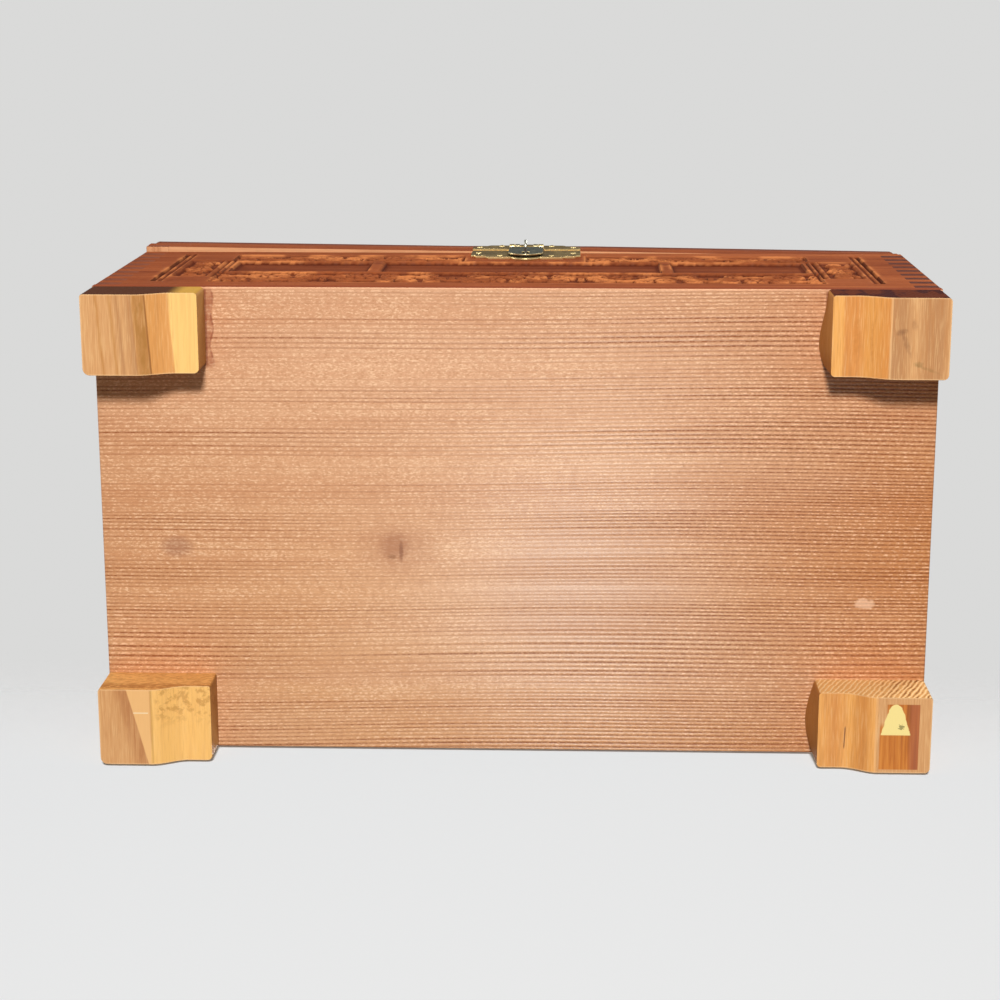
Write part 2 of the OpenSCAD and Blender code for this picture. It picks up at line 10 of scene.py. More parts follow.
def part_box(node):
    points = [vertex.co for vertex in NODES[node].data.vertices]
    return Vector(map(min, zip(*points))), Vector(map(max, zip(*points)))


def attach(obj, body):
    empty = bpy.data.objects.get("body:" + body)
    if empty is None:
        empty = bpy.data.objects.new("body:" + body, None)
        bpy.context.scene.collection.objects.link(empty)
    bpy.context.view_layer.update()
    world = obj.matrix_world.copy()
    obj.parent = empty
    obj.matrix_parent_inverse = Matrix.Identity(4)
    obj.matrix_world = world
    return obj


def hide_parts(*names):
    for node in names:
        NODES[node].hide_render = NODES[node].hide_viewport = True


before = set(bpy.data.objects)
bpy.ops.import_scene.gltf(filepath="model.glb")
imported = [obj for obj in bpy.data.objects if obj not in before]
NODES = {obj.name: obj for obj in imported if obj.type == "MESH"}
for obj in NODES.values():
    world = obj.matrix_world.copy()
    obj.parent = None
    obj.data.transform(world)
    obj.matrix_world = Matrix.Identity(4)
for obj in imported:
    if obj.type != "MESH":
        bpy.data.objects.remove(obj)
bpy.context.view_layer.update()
MM = 0.001


def node_box(name):
    """Lowest and highest corner of a CAD node, in mm."""
    low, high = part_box(name)
    return np.array(low) / MM, np.array(high) / MM


# Sizes that the CAD model says
(LEFT, FRONT, BASE), (RIGHT, BACK, BOARD) = node_box("bottom_panel")
SEAM = node_box("left_board")[1][2]
WALL = node_box("front_board")[1][1] - FRONT
RAIL = node_box("lid_left_rail")[0][2]
PANEL, TOP = (corner[2] for corner in node_box("lid_top_panel"))
FOOT_IN = node_box("foot_front_left")[1][0] - LEFT
FOOT_D = node_box("foot_front_left")[1][1] - FRONT
FINGERS = 18
FINGER = (SEAM - BOARD) / FINGERS
MIDDLE, DEPTH = (FRONT + BACK) / 2, BACK - FRONT
# The hinges' axis, and the slope of the bevels behind it, which let the lid open
AXIS_Y, AXIS_Z = BACK - 1.0, (SEAM + RAIL) / 2
BEVEL_SLOPE = math.tan(math.radians(106.5) / 2)
LID_ROUND = 2.5
# The latch, and half the stretch of the lid's front edge that is straight above it
LATCH_X, LATCH_FLAT = 2.0, 26.0
# From a board's edge to the end of its carved bands, and the depth of their ground
BAND_IN, BAND_DEEP = 39, 1.3
# Depth and wall of a plain sunken field
FIELD = (1.5, 0.9)


def srgb(r, g, b):
    """Linear colour of an sRGB colour given from 0 to 255."""
    return tuple((c / 255 / 12.92 if c < 10.3 else ((c / 255 + 0.055) / 1.055) ** 2.4) for c in (r, g, b))


def smooth(t):
    t = np.clip(t, 0, 1)
    return t * t * (3 - 2 * t)


def grid_lines(stops, step):
    """Grid lines through every stop, no further apart than step."""
    lines = [stops[0]]
    for a, b in zip(stops, stops[1:]):
        n = max(1, math.ceil((b - a) / step - 1e-6))
        lines += [a + (b - a) * i / n for i in range(1, n + 1)]
    return np.array(lines)


def framed(low, high, insets, step):
    """Grid lines from low to high with extra ones near both ends, at the distances that insets gives."""
    return grid_lines([low, *[low + e for e in insets], *[high - e for e in reversed(insets)], high], step)


# Carving


class Relief:
    """Heights over the grid of a face: 0 at the face, negative in the wood."""

    def __init__(self, u, v):
        self.u, self.v = u, v
        self.U, self.V = np.meshgrid(u, v, indexing="ij")
        self.h = np.zeros_like(self.U)

    def window(self, u0, u1, v0, v1):
        a, b = np.searchsorted(self.u, [u0, u1])
        c, d = np.searchsorted(self.v, [v0, v1])
        return slice(a, b), slice(c, d)

    def inset(self, u0, u1, v0, v1, low=0, high=0):
        """Distance inwards from the nearest edge of a rectangle, whose lower and upper edge are moved down by
        low and high."""
        return np.minimum(np.minimum(self.U - u0, u1 - self.U),
                          np.minimum(self.V - v0 + low, v1 - self.V - high))

    def sink(self, u0, u1, v0, v1, depth, wall=0.7, ripple=(0, 0), seed=0.0):
        """Sunk ground with steep walls; ripple is the scallop of its lower and upper edge."""
        wave = np.sin(self.U * 0.93 + seed) * 0.6 + np.sin(self.U * 0.41 + 2 * seed) * 0.4
        inside = self.inset(u0, u1, v0, v1, ripple[0] * wave, ripple[1] * wave)
        self.h = np.minimum(self.h, -depth * smooth(inside / wall))

    def groove(self, u, v0, v1, width, depth):
        """Upright V-shaped line with tapering ends."""
        across = np.clip(1 - np.abs(self.U - u) / (width / 2), 0, 1)
        ends = smooth((self.V - v0) / 1.5) * smooth((v1 - self.V) / 1.5)
        self.h = np.minimum(self.h, -depth * np.minimum(across * 1.5, 1) * ends)

    def build_up(self, where, share, depth, top=0.0):
        """Raises the carving in a window: share is 0 on the ground, which is depth deep, and 1 at the top."""
        raised = np.where(share > 0, -depth + share * (depth + top), -1e9)
        self.h[where] = np.maximum(self.h[where], np.minimum(raised, 0))

    def stroke(self, points, widths, depth, top=-0.1):
        """A round-topped stem along points, as wide on each side as widths."""
        points = np.asarray(points, float)
        reach = float(np.max(widths))
        where = self.window(points[:, 0].min() - reach, points[:, 0].max() + reach,
                            points[:, 1].min() - reach, points[:, 1].max() + reach)
        u, v = self.U[where], self.V[where]
        share = np.full(u.shape, -1.0)
        for (pu, pv), w in zip(points, np.broadcast_to(widths, len(points))):
            share = np.maximum(share, 1 - ((u - pu) ** 2 + (v - pv) ** 2) / w ** 2)
        self.build_up(where, np.where(share > 0, np.sqrt(np.maximum(share, 0)), 0), depth, top)

    def flower(self, cu, cv, radius, petals, depth, turn=0.0):
        where = self.window(cu - radius, cu + radius, cv - radius, cv + radius)
        du, dv = self.U[where] - cu, self.V[where] - cv
        far = np.hypot(du, dv) / radius
        lobe = np.abs(np.cos(petals * (np.arctan2(dv, du) + turn) / 2))
        edge = 0.62 + 0.38 * np.sqrt(lobe)
        petal = smooth((edge - far) * radius / 0.9) * (0.5 + 0.5 * lobe ** 0.5)
        petal = petal * (0.62 + 0.38 * smooth(far * 1.3))
        vein = 1 - 0.25 * np.exp(-(((1 - lobe) * 26) ** 2)) * smooth(far * 3 - 0.9)
        boss = np.sqrt(np.clip(1 - (far / 0.25) ** 2, 0, 1))
        self.build_up(where, np.maximum(petal * vein * smooth((far - 0.22) * 8), boss), depth)

    def leaf(self, cu, cv, angle, length, width, depth, bend=0.0):
        """A pointed leaf from its foot at cu, cv, with a midrib and side veins cut in."""
        reach = length * 1.1
        where = self.window(cu - reach, cu + reach, cv - reach, cv + reach)
        du, dv = self.U[where] - cu, self.V[where] - cv
        a = (du * math.cos(angle) + dv * math.sin(angle)) / length
        b = -du * math.sin(angle) + dv * math.cos(angle) - bend * length * a * (1 - a)
        half = width / 2 * np.sin(np.pi * np.clip(a, 0, 1) ** 0.8)
        share = np.where((a > 0) & (a < 1) & (half > 0.05), 1 - (b / np.maximum(half, 0.05)) ** 2, -1)
        dome = np.sqrt(np.clip(share, 0, 1)) * 0.35 + 0.65 * smooth(share * 2.2)
        midrib = 1 - 0.45 * np.exp(-((b / 0.38) ** 2))
        veins = 1 - 0.16 * (0.5 + 0.5 * np.cos((a * length - np.abs(b) * 0.8) * 2 * np.pi / 2.1))
        self.build_up(where, np.where(share > 0, dome * midrib * veins, -1), depth)

    def scroll(self, cu, cv, radius, turn, hand, depth, width=1.3):
        """A spiral tendril that winds in to cu, cv."""
        t = np.linspace(0, 1, 46)
        angle = turn + hand * t * 2 * np.pi * 1.35
        r = radius * (1 - 0.86 * t)
        points = np.stack([cu + r * np.cos(angle), cv + r * np.sin(angle)], 1)
        self.stroke(points, width * (1 - 0.45 * t), depth)
        self.stroke(points[-1:], [width * 1.15], depth, 0.0)

    def vine(self, u0, u1, v0, v1, depth, period, rng, start=0):
        """A waving stem with flowers, leaves and tendrils that fills a sunk band."""
        mid, tall = (v0 + v1) / 2, v1 - v0
        count = max(2, round((u1 - u0) / (period / 2)))
        half = (u1 - u0) / count
        swing = tall * 0.21
        u = np.arange(u0 + 1, u1 - 1, 0.5)
        self.stroke(np.stack([u, mid + swing * np.sin((u - u0) / half * np.pi)], 1), 0.95, depth)
        for k in range(count):
            side = 1 if k % 2 == 0 else -1
            cu = u0 + (k + 0.5) * half
            wobble = rng.uniform(-0.06, 0.06, 8)
            kind = (k + start) % 3
            size = min(tall * 0.27, half * 0.3)
            if kind == 0:
                self.flower(cu + wobble[0] * half, mid - side * tall * 0.17, size * (1.12 + wobble[1]),
                            (6, 5, 8)[(k // 3) % 3], depth, wobble[2] * 8)
            elif kind == 1:
                self.scroll(cu, mid - side * tall * 0.18, size, side * 0.5 * math.pi, side, depth)
            else:
                for d in (-1, 0, 1):
                    self.leaf(cu + d * size * 0.35, mid + side * tall * 0.1,
                              -side * (math.pi / 2 - d * 0.75 + wobble[3]),
                              size * (1.75 - 0.25 * abs(d)), size * 0.62, depth, 0.18 * d)
            for d in (-1, 1):
                self.leaf(cu + d * half * 0.2, mid + side * tall * 0.2,
                          side * (math.pi / 2 - d * (1.0 + wobble[4])),
                          tall * 0.29, tall * 0.15, depth, -0.2 * d)
                self.leaf(cu + d * half * 0.36, mid - side * tall * 0.12,
                          -side * (math.pi / 2 - d * (0.35 + wobble[5])),
                          tall * 0.32, tall * 0.16, depth, 0.2 * d)


def relief_marks(h):
    """Two shares: how far a point stands out of what is round it, and how deep it lies in the carving."""
    mean = h.copy()
    for _ in range(6):
        p = np.pad(mean, 1, mode="edge")
        mean = (p[:-2, 1:-1] + p[2:, 1:-1] + p[1:-1, :-2] + p[1:-1, 2:] + 4 * p[1:-1, 1:-1]) / 8
    out = h - mean
    return np.clip(out / 0.22, 0, 1), np.clip(-out / 0.25, 0, 1) * 0.6 + np.clip(-h / 1.5, 0, 1) * 0.4


# Meshes


def new_mesh(name, points, faces, material):
    """An object in the scene, from points in mm."""
    mesh = bpy.data.meshes.new(name)
    mesh.from_pydata(np.asarray(points, float) * MM, [], faces)
    mesh.validate(clean_customdata=False)
    mesh.materials.append(material)
    thing = bpy.data.objects.new(name, mesh)
    bpy.context.scene.collection.objects.link(thing)
    return thing


def new_piece(name, points, faces, body, node, material):
    piece = new_mesh(name, points, faces, material)
    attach(piece, body)
    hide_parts(node)
    return piece


def shade(piece, angle=38):
    piece.data.shade_smooth()
    piece.data.set_sharp_from_angle(angle=math.radians(angle))


def break_edges(piece, width, angle):
    """Narrow rounded edges, width mm wide, and shading that leaves the faces between them flat."""
    bevel = piece.modifiers.new("broken_edges", "BEVEL")
    bevel.width, bevel.segments = width * MM, 2
    bevel.limit_method, bevel.angle_limit = "ANGLE", math.radians(angle)
    even = piece.modifiers.new("even_normals", "WEIGHTED_NORMAL")
    even.keep_sharp = True


def slab(relief, place, thickness, present=True):
    """A watertight board: a carved front, side walls round the cells that are present, and a flat back.
    place turns u, v and the distance in front of the face into a point. Returns points, faces and marks."""
    nu, nv = relief.h.shape
    ok = np.zeros((nu + 1, nv + 1), bool)
    ok[1:nu, 1:nv] = present
    used = ok[1:, 1:] | ok[:-1, 1:] | ok[1:, :-1] | ok[:-1, :-1]
    index = np.full((nu, nv), -1)
    index[used] = np.arange(used.sum())
    front = np.stack(place(relief.U[used], relief.V[used], relief.h[used]), 1)
    i, j = np.nonzero(ok[1:nu, 1:nv])
    faces = np.stack([index[i, j], index[i + 1, j], index[i + 1, j + 1], index[i, j + 1]], 1).tolist()
    follow = {}
    for di, dj, (a, b), (c, d) in ((0, -1, (0, 0), (1, 0)), (1, 0, (1, 0), (1, 1)),
                                   (0, 1, (1, 1), (0, 1)), (-1, 0, (0, 1), (0, 0))):
        rim = ~ok[i + 1 + di, j + 1 + dj]
        follow.update(zip(index[i[rim] + a, j[rim] + b].tolist(), index[i[rim] + c, j[rim] + d].tolist()))
    start = min(follow)
    loop, at = [start], follow[start]
    while at != start:
        loop.append(at)
        at = follow[at]
    grid = {k: n for n, k in enumerate(loop)}
    rear = np.stack(place(relief.U[used][loop], relief.V[used][loop], np.full(len(loop), -thickness)), 1)
    base = len(front)
    for k in loop:
        n = follow[k]
        faces.append([n, k, base + grid[k], base + grid[n]])
    faces.append([base + grid[k] for k in reversed(loop)])
    out, deep = relief_marks(relief.h)
    return np.concatenate([front, rear]), faces, out[used], deep[used]


def mark(piece, name, values):
    attribute = piece.data.attributes.new(name, "FLOAT", "POINT")
    full = np.zeros(len(piece.data.vertices), np.float32)
    full[:len(values)] = values
    attribute.data.foreach_set("value", full)


def carved_piece(name, body, node, material, relief, place, thickness, present=True):
    points, faces, out, deep = slab(relief, place, thickness, present)
    piece = new_piece(name, points, faces, body, node, material)
    mark(piece, "out", out)
    mark(piece, "deep", deep)
    shade(piece)


# Materials


def operator(operation):
    """A method of Val that makes a Math node."""
    def method(self, *others):
        node = self.tree.nodes.new("ShaderNodeMath")
        node.operation = operation
        for slot, value in zip(node.inputs, (self, *others)):
            feed(slot, value)
        return Val(self.tree, node.outputs[0])

    return method


class Val:
    """A socket with arithmetic, so that a material reads like a formula."""

    __add__, __sub__, __mul__ = operator("ADD"), operator("SUBTRACT"), operator("MULTIPLY")
    most, least, power = operator("MAXIMUM"), operator("MINIMUM"), operator("POWER")
    size, wave = operator("ABSOLUTE"), operator("SINE")

    def __init__(self, tree, socket):
        self.tree, self.socket = tree, socket

    def flip(self):
        return self * -1.0 + 1.0

    def step(self, low, high):
        """0 below low, 1 above high, smooth between; high may be the lower one."""
        node = self.tree.nodes.new("ShaderNodeMapRange")
        node.interpolation_type = "SMOOTHSTEP"
        for key, value in (("Value", self), ("From Min", min(low, high)), ("From Max", max(low, high)),
                           ("To Min", float(low > high)), ("To Max", float(low <= high))):
            feed(node.inputs[key], value)
        return Val(self.tree, node.outputs[0])

    def between(self, low, high, soft):
        return self.step(low - soft, low + soft) * self.step(high + soft, high - soft)


def feed(slot, value):
    if isinstance(value, Val):
        slot.id_data.links.new(value.socket, slot)
    elif slot.type == "RGBA":
        slot.default_value = (*value, 1.0)
    else:
        slot.default_value = value


def axes(tree, socket):
    """The three parts of a vector."""
    node = tree.nodes.new("ShaderNodeSeparateXYZ")
    tree.links.new(socket, node.inputs[0])
    return [Val(tree, part) for part in node.outputs]


def mixed(tree, share, a, b):
    """From a to b by share; colours given as numbers are linear."""
    node = tree.nodes.new("ShaderNodeMix")
    node.data_type = "RGBA"
    for place, value in ((0, share), (6, a), (7, b)):
        feed(node.inputs[place], value)
    return Val(tree, node.outputs[2])


def around(dx, dy, half_x, half_y):
    """Squared distance, 1 on the ellipse with those half sizes."""
    dx, dy = dx * (1 / half_x), dy * (1 / half_y)
    return dx * dx + dy * dy


class Finish:
    """A Principled material with places in mm in the row frame at rest. Its colour is laid on in coats."""

    def __init__(self, name, **constants):
        self.mat = bpy.data.materials.new(name)
        self.mat.use_nodes = True
        self.tree = self.mat.node_tree
        self.shader = self.tree.nodes["Principled BSDF"]
        for key, value in constants.items():
            self.shader.inputs[key.replace("_", " ")].default_value = value
        place = self.tree.nodes.new("ShaderNodeTexCoord")
        self.object = place.outputs["Object"]
        self.x, self.y, self.z = (part * (1 / MM) for part in axes(self.tree, self.object))
        self.nx, self.ny, self.nz = axes(self.tree, place.outputs["Normal"])

    def noise(self, scale, detail=3.0, rough=0.5, distortion=0.0, shift=0.0):
        """Noise with features of about 1 / scale mm, which may be three numbers; stays near 0.5."""
        scaled = self.tree.nodes.new("ShaderNodeVectorMath")
        scaled.operation = "MULTIPLY_ADD"
        self.tree.links.new(self.object, scaled.inputs[0])
        scaled.inputs[1].default_value = np.broadcast_to(scale, 3) / MM
        scaled.inputs[2].default_value = (shift, shift * 0.7, shift * 1.3)
        node = self.tree.nodes.new("ShaderNodeTexNoise")
        for key, value in (("Scale", 1.0), ("Detail", detail), ("Roughness", rough),
                           ("Distortion", distortion)):
            node.inputs[key].default_value = value
        self.tree.links.new(scaled.outputs[0], node.inputs["Vector"])
        return Val(self.tree, node.outputs[0])

    def stretched(self, along, long, cross, **more):
        scale = [cross] * 3
        scale["xyz".index(along)] = long
        return self.noise(scale, **more)

    def mark(self, name):
        node = self.tree.nodes.new("ShaderNodeAttribute")
        node.attribute_name = name
        return Val(self.tree, node.outputs["Fac"])

    def mix(self, share, a, b):
        return mixed(self.tree, share, a, b)

    def ramp(self, value, stops):
        """Colour of value from stops of (place from 0 to 1, colour from 0 to 255)."""
        node = self.tree.nodes.new("ShaderNodeValToRGB")
        elements = node.color_ramp.elements
        while len(elements) < len(stops):
            elements.new(0.5)
        for element, (place, tone) in zip(elements, stops):
            element.position, element.color = place, (*srgb(*tone), 1.0)
        feed(node.inputs[0], value)
        return Val(self.tree, node.outputs[0])

    def coat(self, share, *tone):
        """Lays a colour given from 0 to 255 over the ones so far."""
        self.colour = self.mix(share, self.colour, srgb(*tone))

    def done(self, rough, height, depth):
        """The material, with the colour so far, a roughness and a bump whose height share is depth mm."""
        feed(self.shader.inputs["Base Color"], self.colour)
        feed(self.shader.inputs["Roughness"], rough)
        node = self.tree.nodes.new("ShaderNodeBump")
        node.inputs["Distance"].default_value = depth * MM
        feed(node.inputs["Height"], height)
        self.tree.links.new(node.outputs[0], self.shader.inputs["Normal"])
        return self.mat


def inside_mask(f):
    """1 on the unvarnished faces: round the inside of box and lid, on the rims and under the lid."""
    wall = WALL - 0.12
    inner = f.x.size().step(RIGHT - wall + 0.08, RIGHT - wall) * f.y.between(FRONT + wall, BACK - wall, 0.04)
    rims = f.z.between(SEAM - 0.06, RAIL + 0.06, 0.03)
    return (inner * f.z.step(PANEL + 0.15, PANEL + 0.05)).most(rims)


def carved_wood(name, along, gloss, rough, carved=False, shift=0.0):
    """Varnished red-brown wood with its grain along one axis, dark end grain and bare inner faces."""
    f = Finish(name, Specular_IOR_Level=gloss)
    broad = f.stretched(along, 0.006, 0.09, detail=2.0, distortion=0.6, shift=shift)
    streak = f.stretched(along, 0.022, 0.7, shift=shift + 3)
    fine = f.stretched(along, 0.09, 3.4, detail=2.0, shift=shift + 7)
    pores = f.stretched(along, 0.3, 7.0, detail=1.0, shift=shift + 9).step(0.6, 0.68)
    blotch = f.noise(0.035, detail=2.0, shift=shift + 5)
    f.colour = f.ramp(broad * 0.5 + streak * 0.32 + fine * 0.18,
                      [(0.34, (112, 50, 28)), (0.45, (142, 72, 40)),
                       (0.55, (162, 87, 50)), (0.68, (184, 106, 62))])
    f.coat(blotch.step(0.42, 0.66) * 0.35, 174, 92, 50)
    f.coat(pores * 0.4, 84, 38, 23)
    end = {"x": f.nx, "y": f.ny, "z": f.nz}[along].size().step(0.72, 0.86)
    rings = f.noise((0.5, 0.5, 1.6), shift=shift + 11)
    end_colour = f.ramp(rings, [(0.35, (66, 30, 22)), (0.6, (104, 50, 32))])
    if along == "y":
        # The side boards' ends are stained dark at the front's right corner only
        end_colour = f.mix(f.x.step(-120, 120), srgb(136, 72, 44), end_colour)
    f.colour = f.mix(end, f.colour, end_colour)
    if carved:
        # Hollows of the carving are darker: pooled stain and painted shade
        pooled_stain_and_shade = f.noise(0.3, detail=2.0, shift=shift + 13)
        f.coat((f.mark("deep") * (pooled_stain_and_shade * 0.6 + 0.75)).least(0.85), 86, 35, 20)
        # Raised crests are lighter: rubbed wear and painted highlights
        wear_and_highlight = f.noise(0.07, shift=shift + 15).step(0.47, 0.6)
        f.coat((f.mark("out") * (wear_and_highlight * 0.75 + 0.12)).least(0.85), 222, 138, 80)
    raw = inside_mask(f)
    raw_colour = f.ramp(broad * 0.4 + streak * 0.35 + fine * 0.25,
                        [(0.36, (200, 138, 94)), (0.5, (224, 166, 120)), (0.64, (236, 182, 134))])
    f.colour = f.mix(raw, f.colour, raw_colour)
    # The front and the end grain have lost their gloss
    matt = end.most(f.ny.step(-0.35, -0.75)) * 0.45
    rough = (fine * 0.2 + rough + matt).most(raw * 0.62)
    return f.done(rough, fine * 0.55 + streak * 0.3 - pores * 0.5, 0.06)


def bottom_wood():
    """Pale, unvarnished softwood: dark lines in the hollows between its rings, darker wood and painted shade,
    light flecks on their crests that are painted highlights, two soft knots, and red finish that crept over
    its edges."""
    f = Finish("bottom_ridged", Specular_IOR_Level=0.06)
    ring = f.mark("ring")
    broad = f.noise((0.008, 0.03, 0.03), detail=2.0)
    band = f.noise((0.0035, 0.12, 0.12), shift=4)
    line = f.noise((0.012, 0.5, 0.5), detail=2.0, shift=13)
    fleck = f.noise((0.8, 1.5, 1.5), detail=2.0, rough=0.6, shift=9)
    spots = f.noise((0.03, 0.06, 0.06), detail=2.0, shift=23)
    fine = f.noise((0.06, 2.6, 2.6), shift=2)
    mottle = f.noise((0.4, 0.3, 0.3), shift=17)
    grain = f.noise((1.0, 2.4, 2.4), rough=0.7, shift=51)
    across = f.x * (1 / RIGHT)
    f.colour = f.mix(f.y.step(FRONT, BACK), srgb(229, 179, 142), srgb(224, 169, 121))
    f.coat(across.step(0.2, 1.05) * 0.8, 203, 132, 74)
    f.coat(across.step(-0.3, -1.1) * 0.55, 206, 148, 104)
    f.coat(band.step(0.4, 0.66) * 0.3, 204, 140, 98)
    f.coat(broad.step(0.45, 0.7) * 0.3, 236, 190, 152)
    f.coat(mottle.step(0.45, 0.68) * 0.22, 190, 132, 92)
    # Dark lines in the hollows between rings: darker wood of the rings, with painted shade of the hollows
    lines = ring.step(0.02, 0.7) * (line.step(0.34, 0.6) * 0.4 + 0.6)
    f.coat((lines * (grain.step(0.36, 0.6) * 0.9 + 0.3)).least(0.9), 146, 81, 44)
    # Painted highlights on the crests, as light flecks, in patches of more and fewer
    under = f.nz.step(0.3, -0.3)
    f.coat((under.flip() * fine).step(0.35, 0.7) * 0.4, 176, 112, 70)
    crest_highlight_patches = (fleck * 0.55 + grain * 0.45 + (spots - 0.5) * 0.15).step(0.48, 0.64)
    f.coat(ring.step(0.34, 0.06) * under * crest_highlight_patches * 0.75, 255, 214, 174)
    f.coat(under * grain.step(0.47, 0.32) * 0.5, 184, 124, 80)
    # Knots: a soft brown patch with short dark marks across the grain, and a fainter greyish one
    for x, y, half_x, half_y, share, tone in ((-43.4, 11.8, 5.6, 5.0, 0.6, (164, 102, 66)),
                                              (-42.6, 12.4, 14.0, 9.0, 0.36, (190, 132, 94)),
                                              (-41.1, 13.4, 0.8, 3.8, 0.6, (132, 74, 42)),
                                              (-44.4, 15.6, 1.6, 0.9, 0.5, (140, 86, 46)),
                                              (-123.0, 12.4, 5.6, 3.8, 0.5, (160, 110, 88))):
        far = around(f.x - x, f.y - y, half_x, half_y) + (fleck - 0.5) * 1.0
        f.coat(far.step(1.7, 0.0) * share, *tone)
    # A browner stretch right of the middle, where the sheen lamp's gloss falls, and a pale scuff near the
    # right edge
    f.coat(around(f.x - 27.0, f.y - 27.0, 40.0, 30.0).step(1.3, 0.0) * 0.3, 188, 128, 88)
    scuff = around(f.x - 127.3, f.y - 31.8, 3.6, 2.2) + (mottle - 0.5) * 3.0
    f.coat(scuff.step(1.3, 0.4) * 0.6, 248, 204, 170)
    # Red finish that crept along the inner side of the front left foot, and painted shade in the gap beside
    # both front feet
    foot_x, foot_back = RIGHT - FOOT_IN, FRONT + FOOT_D
    down = f.nz.step(-0.5, -0.8)
    edge = f.x - ((f.y * 0.55 + 1.0).wave() * 0.5 + (f.y * 0.23).wave() * 0.35)
    creep = edge.step(-foot_x + 2.9, -foot_x + 2.3) * f.x.step(-foot_x - 2, -foot_x - 1)
    creep = creep * f.y.step(foot_back + 1.5, foot_back - 1) * down
    stain = f.noise((0.5, 0.3, 0.3), shift=27).step(0.35, 0.62)
    f.coat(creep * (stain * 0.35 + 0.3), 158, 88, 60)
    outline = (edge + foot_x - 2.3).size().step(0.55, 0.15) * f.y.step(foot_back, foot_back - 2)
    f.coat(outline * down * (stain * 0.45 + 0.05), 140, 76, 52)
    # Painted shade in the gap beside both front feet
    gap = (f.x.size() - foot_x).size().step(0.9, 0.3) * f.y.step(foot_back + 1, foot_back - 1)
    f.coat(gap * 0.6, 116, 58, 36)
    sides = f.nz.size().step(0.6, 0.35)
    side_colour = f.mix(f.ny.step(-0.6, -0.8), srgb(168, 104, 66), srgb(150, 74, 42))
    f.colour = f.mix(sides, f.colour, f.mix(fine.step(0.4, 0.7) * 0.5, side_colour, srgb(110, 54, 32)))
    # A painted highlight along the front rim of the underside
    f.coat((f.y - FRONT).step(1.3, 0.35) * f.nz.step(-0.3, -0.8) * 0.6, 246, 190, 150)
    return f.done(fleck * 0.1 + 0.18 + ring * 0.2 + sides * 0.5, fine * 0.25 + fleck * 0.5, 0.025)


def foot_wood(name, side, front, stops, skew, paint, shift):
    """Sawn foot, its grain along the box's depth. stops give the tone at distances from its outer end. paint
    adds the marks on its pad, and returns the colour of the side that looks to the front."""
    f = Finish(name, Specular_IOR_Level=0.08)
    along = (f.x * side) * -1.0 + RIGHT
    deep = f.y - front
    warp = f.noise((0.05, 0.03, 0.05), detail=2.0, shift=shift)
    seen = along - deep * skew + (warp - 0.5) * 2.4
    f.colour = f.ramp(seen * (1 / FOOT_IN), [(place / FOOT_IN, tone) for place, tone in stops])
    streak = f.noise((0.9, 0.035, 0.9), distortion=0.4, shift=shift + 2)
    fine = f.noise((3.2, 0.12, 3.2), detail=2.0, shift=shift + 5)
    f.coat(streak.step(0.46, 0.66) * 0.3, 200, 136, 78)
    f.coat(fine.step(0.52, 0.68) * 0.24, 180, 118, 66)
    f.coat(fine.step(0.48, 0.34) * 0.26, 254, 212, 152)
    # The sides across the grain keep the saw's slanting scratches
    wobble = f.noise(0.3, shift=shift + 8)
    saw = ((f.x - f.z * 0.45) * 3.3 + wobble * 6.0).wave() * 0.5 + 0.5
    front_colour = paint(f, along, deep, saw)
    # A painted highlight along the pad's outer end and its front and back edges
    edge = along.step(0.6, 0.1).most(deep.step(0.6, 0.1)).most(deep.step(FOOT_D - 0.6, FOOT_D - 0.1))
    f.coat(edge * f.nz.step(-0.15, -0.5) * 0.5, 255, 214, 160)
    cut = f.ny.size().step(0.6, 0.8)
    f.colour = f.mix(cut, f.colour, f.mix(saw.step(0.5, 0.9) * 0.4, srgb(208, 150, 90), srgb(150, 96, 52)))
    f.colour = f.mix(f.ny.step(-0.6, -0.8), f.colour, front_colour)
    # The inner side is darker: painted shade
    f.coat((f.nx * side).step(-0.6, -0.8) * 0.65, 158, 96, 46)
    rough = fine * 0.25 + f.ny.size().step(0.3, 0.7) * 0.4 + 0.42
    return f.done(rough, fine * 0.6 + streak * 0.3 + cut * saw * 0.9, 0.12)


def aged_brass(name, bright, dull, rough, shift=0.0, tarnish_and_reflection=None):
    """Metal with dull patches and fine scratches; the last argument is a dark tone over all but its edges:
    tarnish and painted dark reflection.
    """
    f = Finish(name, Metallic=1.0, Specular_IOR_Level=0.1)
    patch = f.noise(0.16, detail=4.0, rough=0.6, shift=shift)
    speck = f.noise(1.4, shift=shift + 3)
    scratch = f.noise((0.25, 4.5, 4.5), detail=2.0, shift=shift + 6)
    f.colour = f.mix(patch.step(0.4, 0.62), bright, dull)
    f.colour = f.mix(speck.step(0.58, 0.72) * 0.5, f.colour, [c * 0.35 for c in dull])
    roughness = patch * 0.22 + speck * 0.1 + scratch * 0.08 + (rough - 0.2)
    if tarnish_and_reflection:
        # Faces that look to the front or back are dark: tarnish and a painted dark reflection. The edges stay
        # bright brass.
        dark_faces = f.ny.size().step(0.6, 0.9) * (patch.step(0.72, 0.5) * 0.06 + 0.94)
        dark_face_tone = f.mix(patch.step(0.44, 0.62) * 0.4, tarnish_and_reflection, [c * 2.2 for c in tarnish_and_reflection])
        dark_face_tone = f.mix(speck.step(0.55, 0.7) * 0.4, dark_face_tone, [c * 0.45 for c in tarnish_and_reflection])
        f.coat(0.6, 255, 232, 172)
        f.colour = f.mix(dark_faces, f.colour, dark_face_tone)
        feed(f.shader.inputs["Metallic"], dark_faces.flip())
        roughness = roughness + dark_faces * 0.4
    return f.done(roughness, scratch * 0.6 + speck * 0.4, 0.015)


# Carved boards


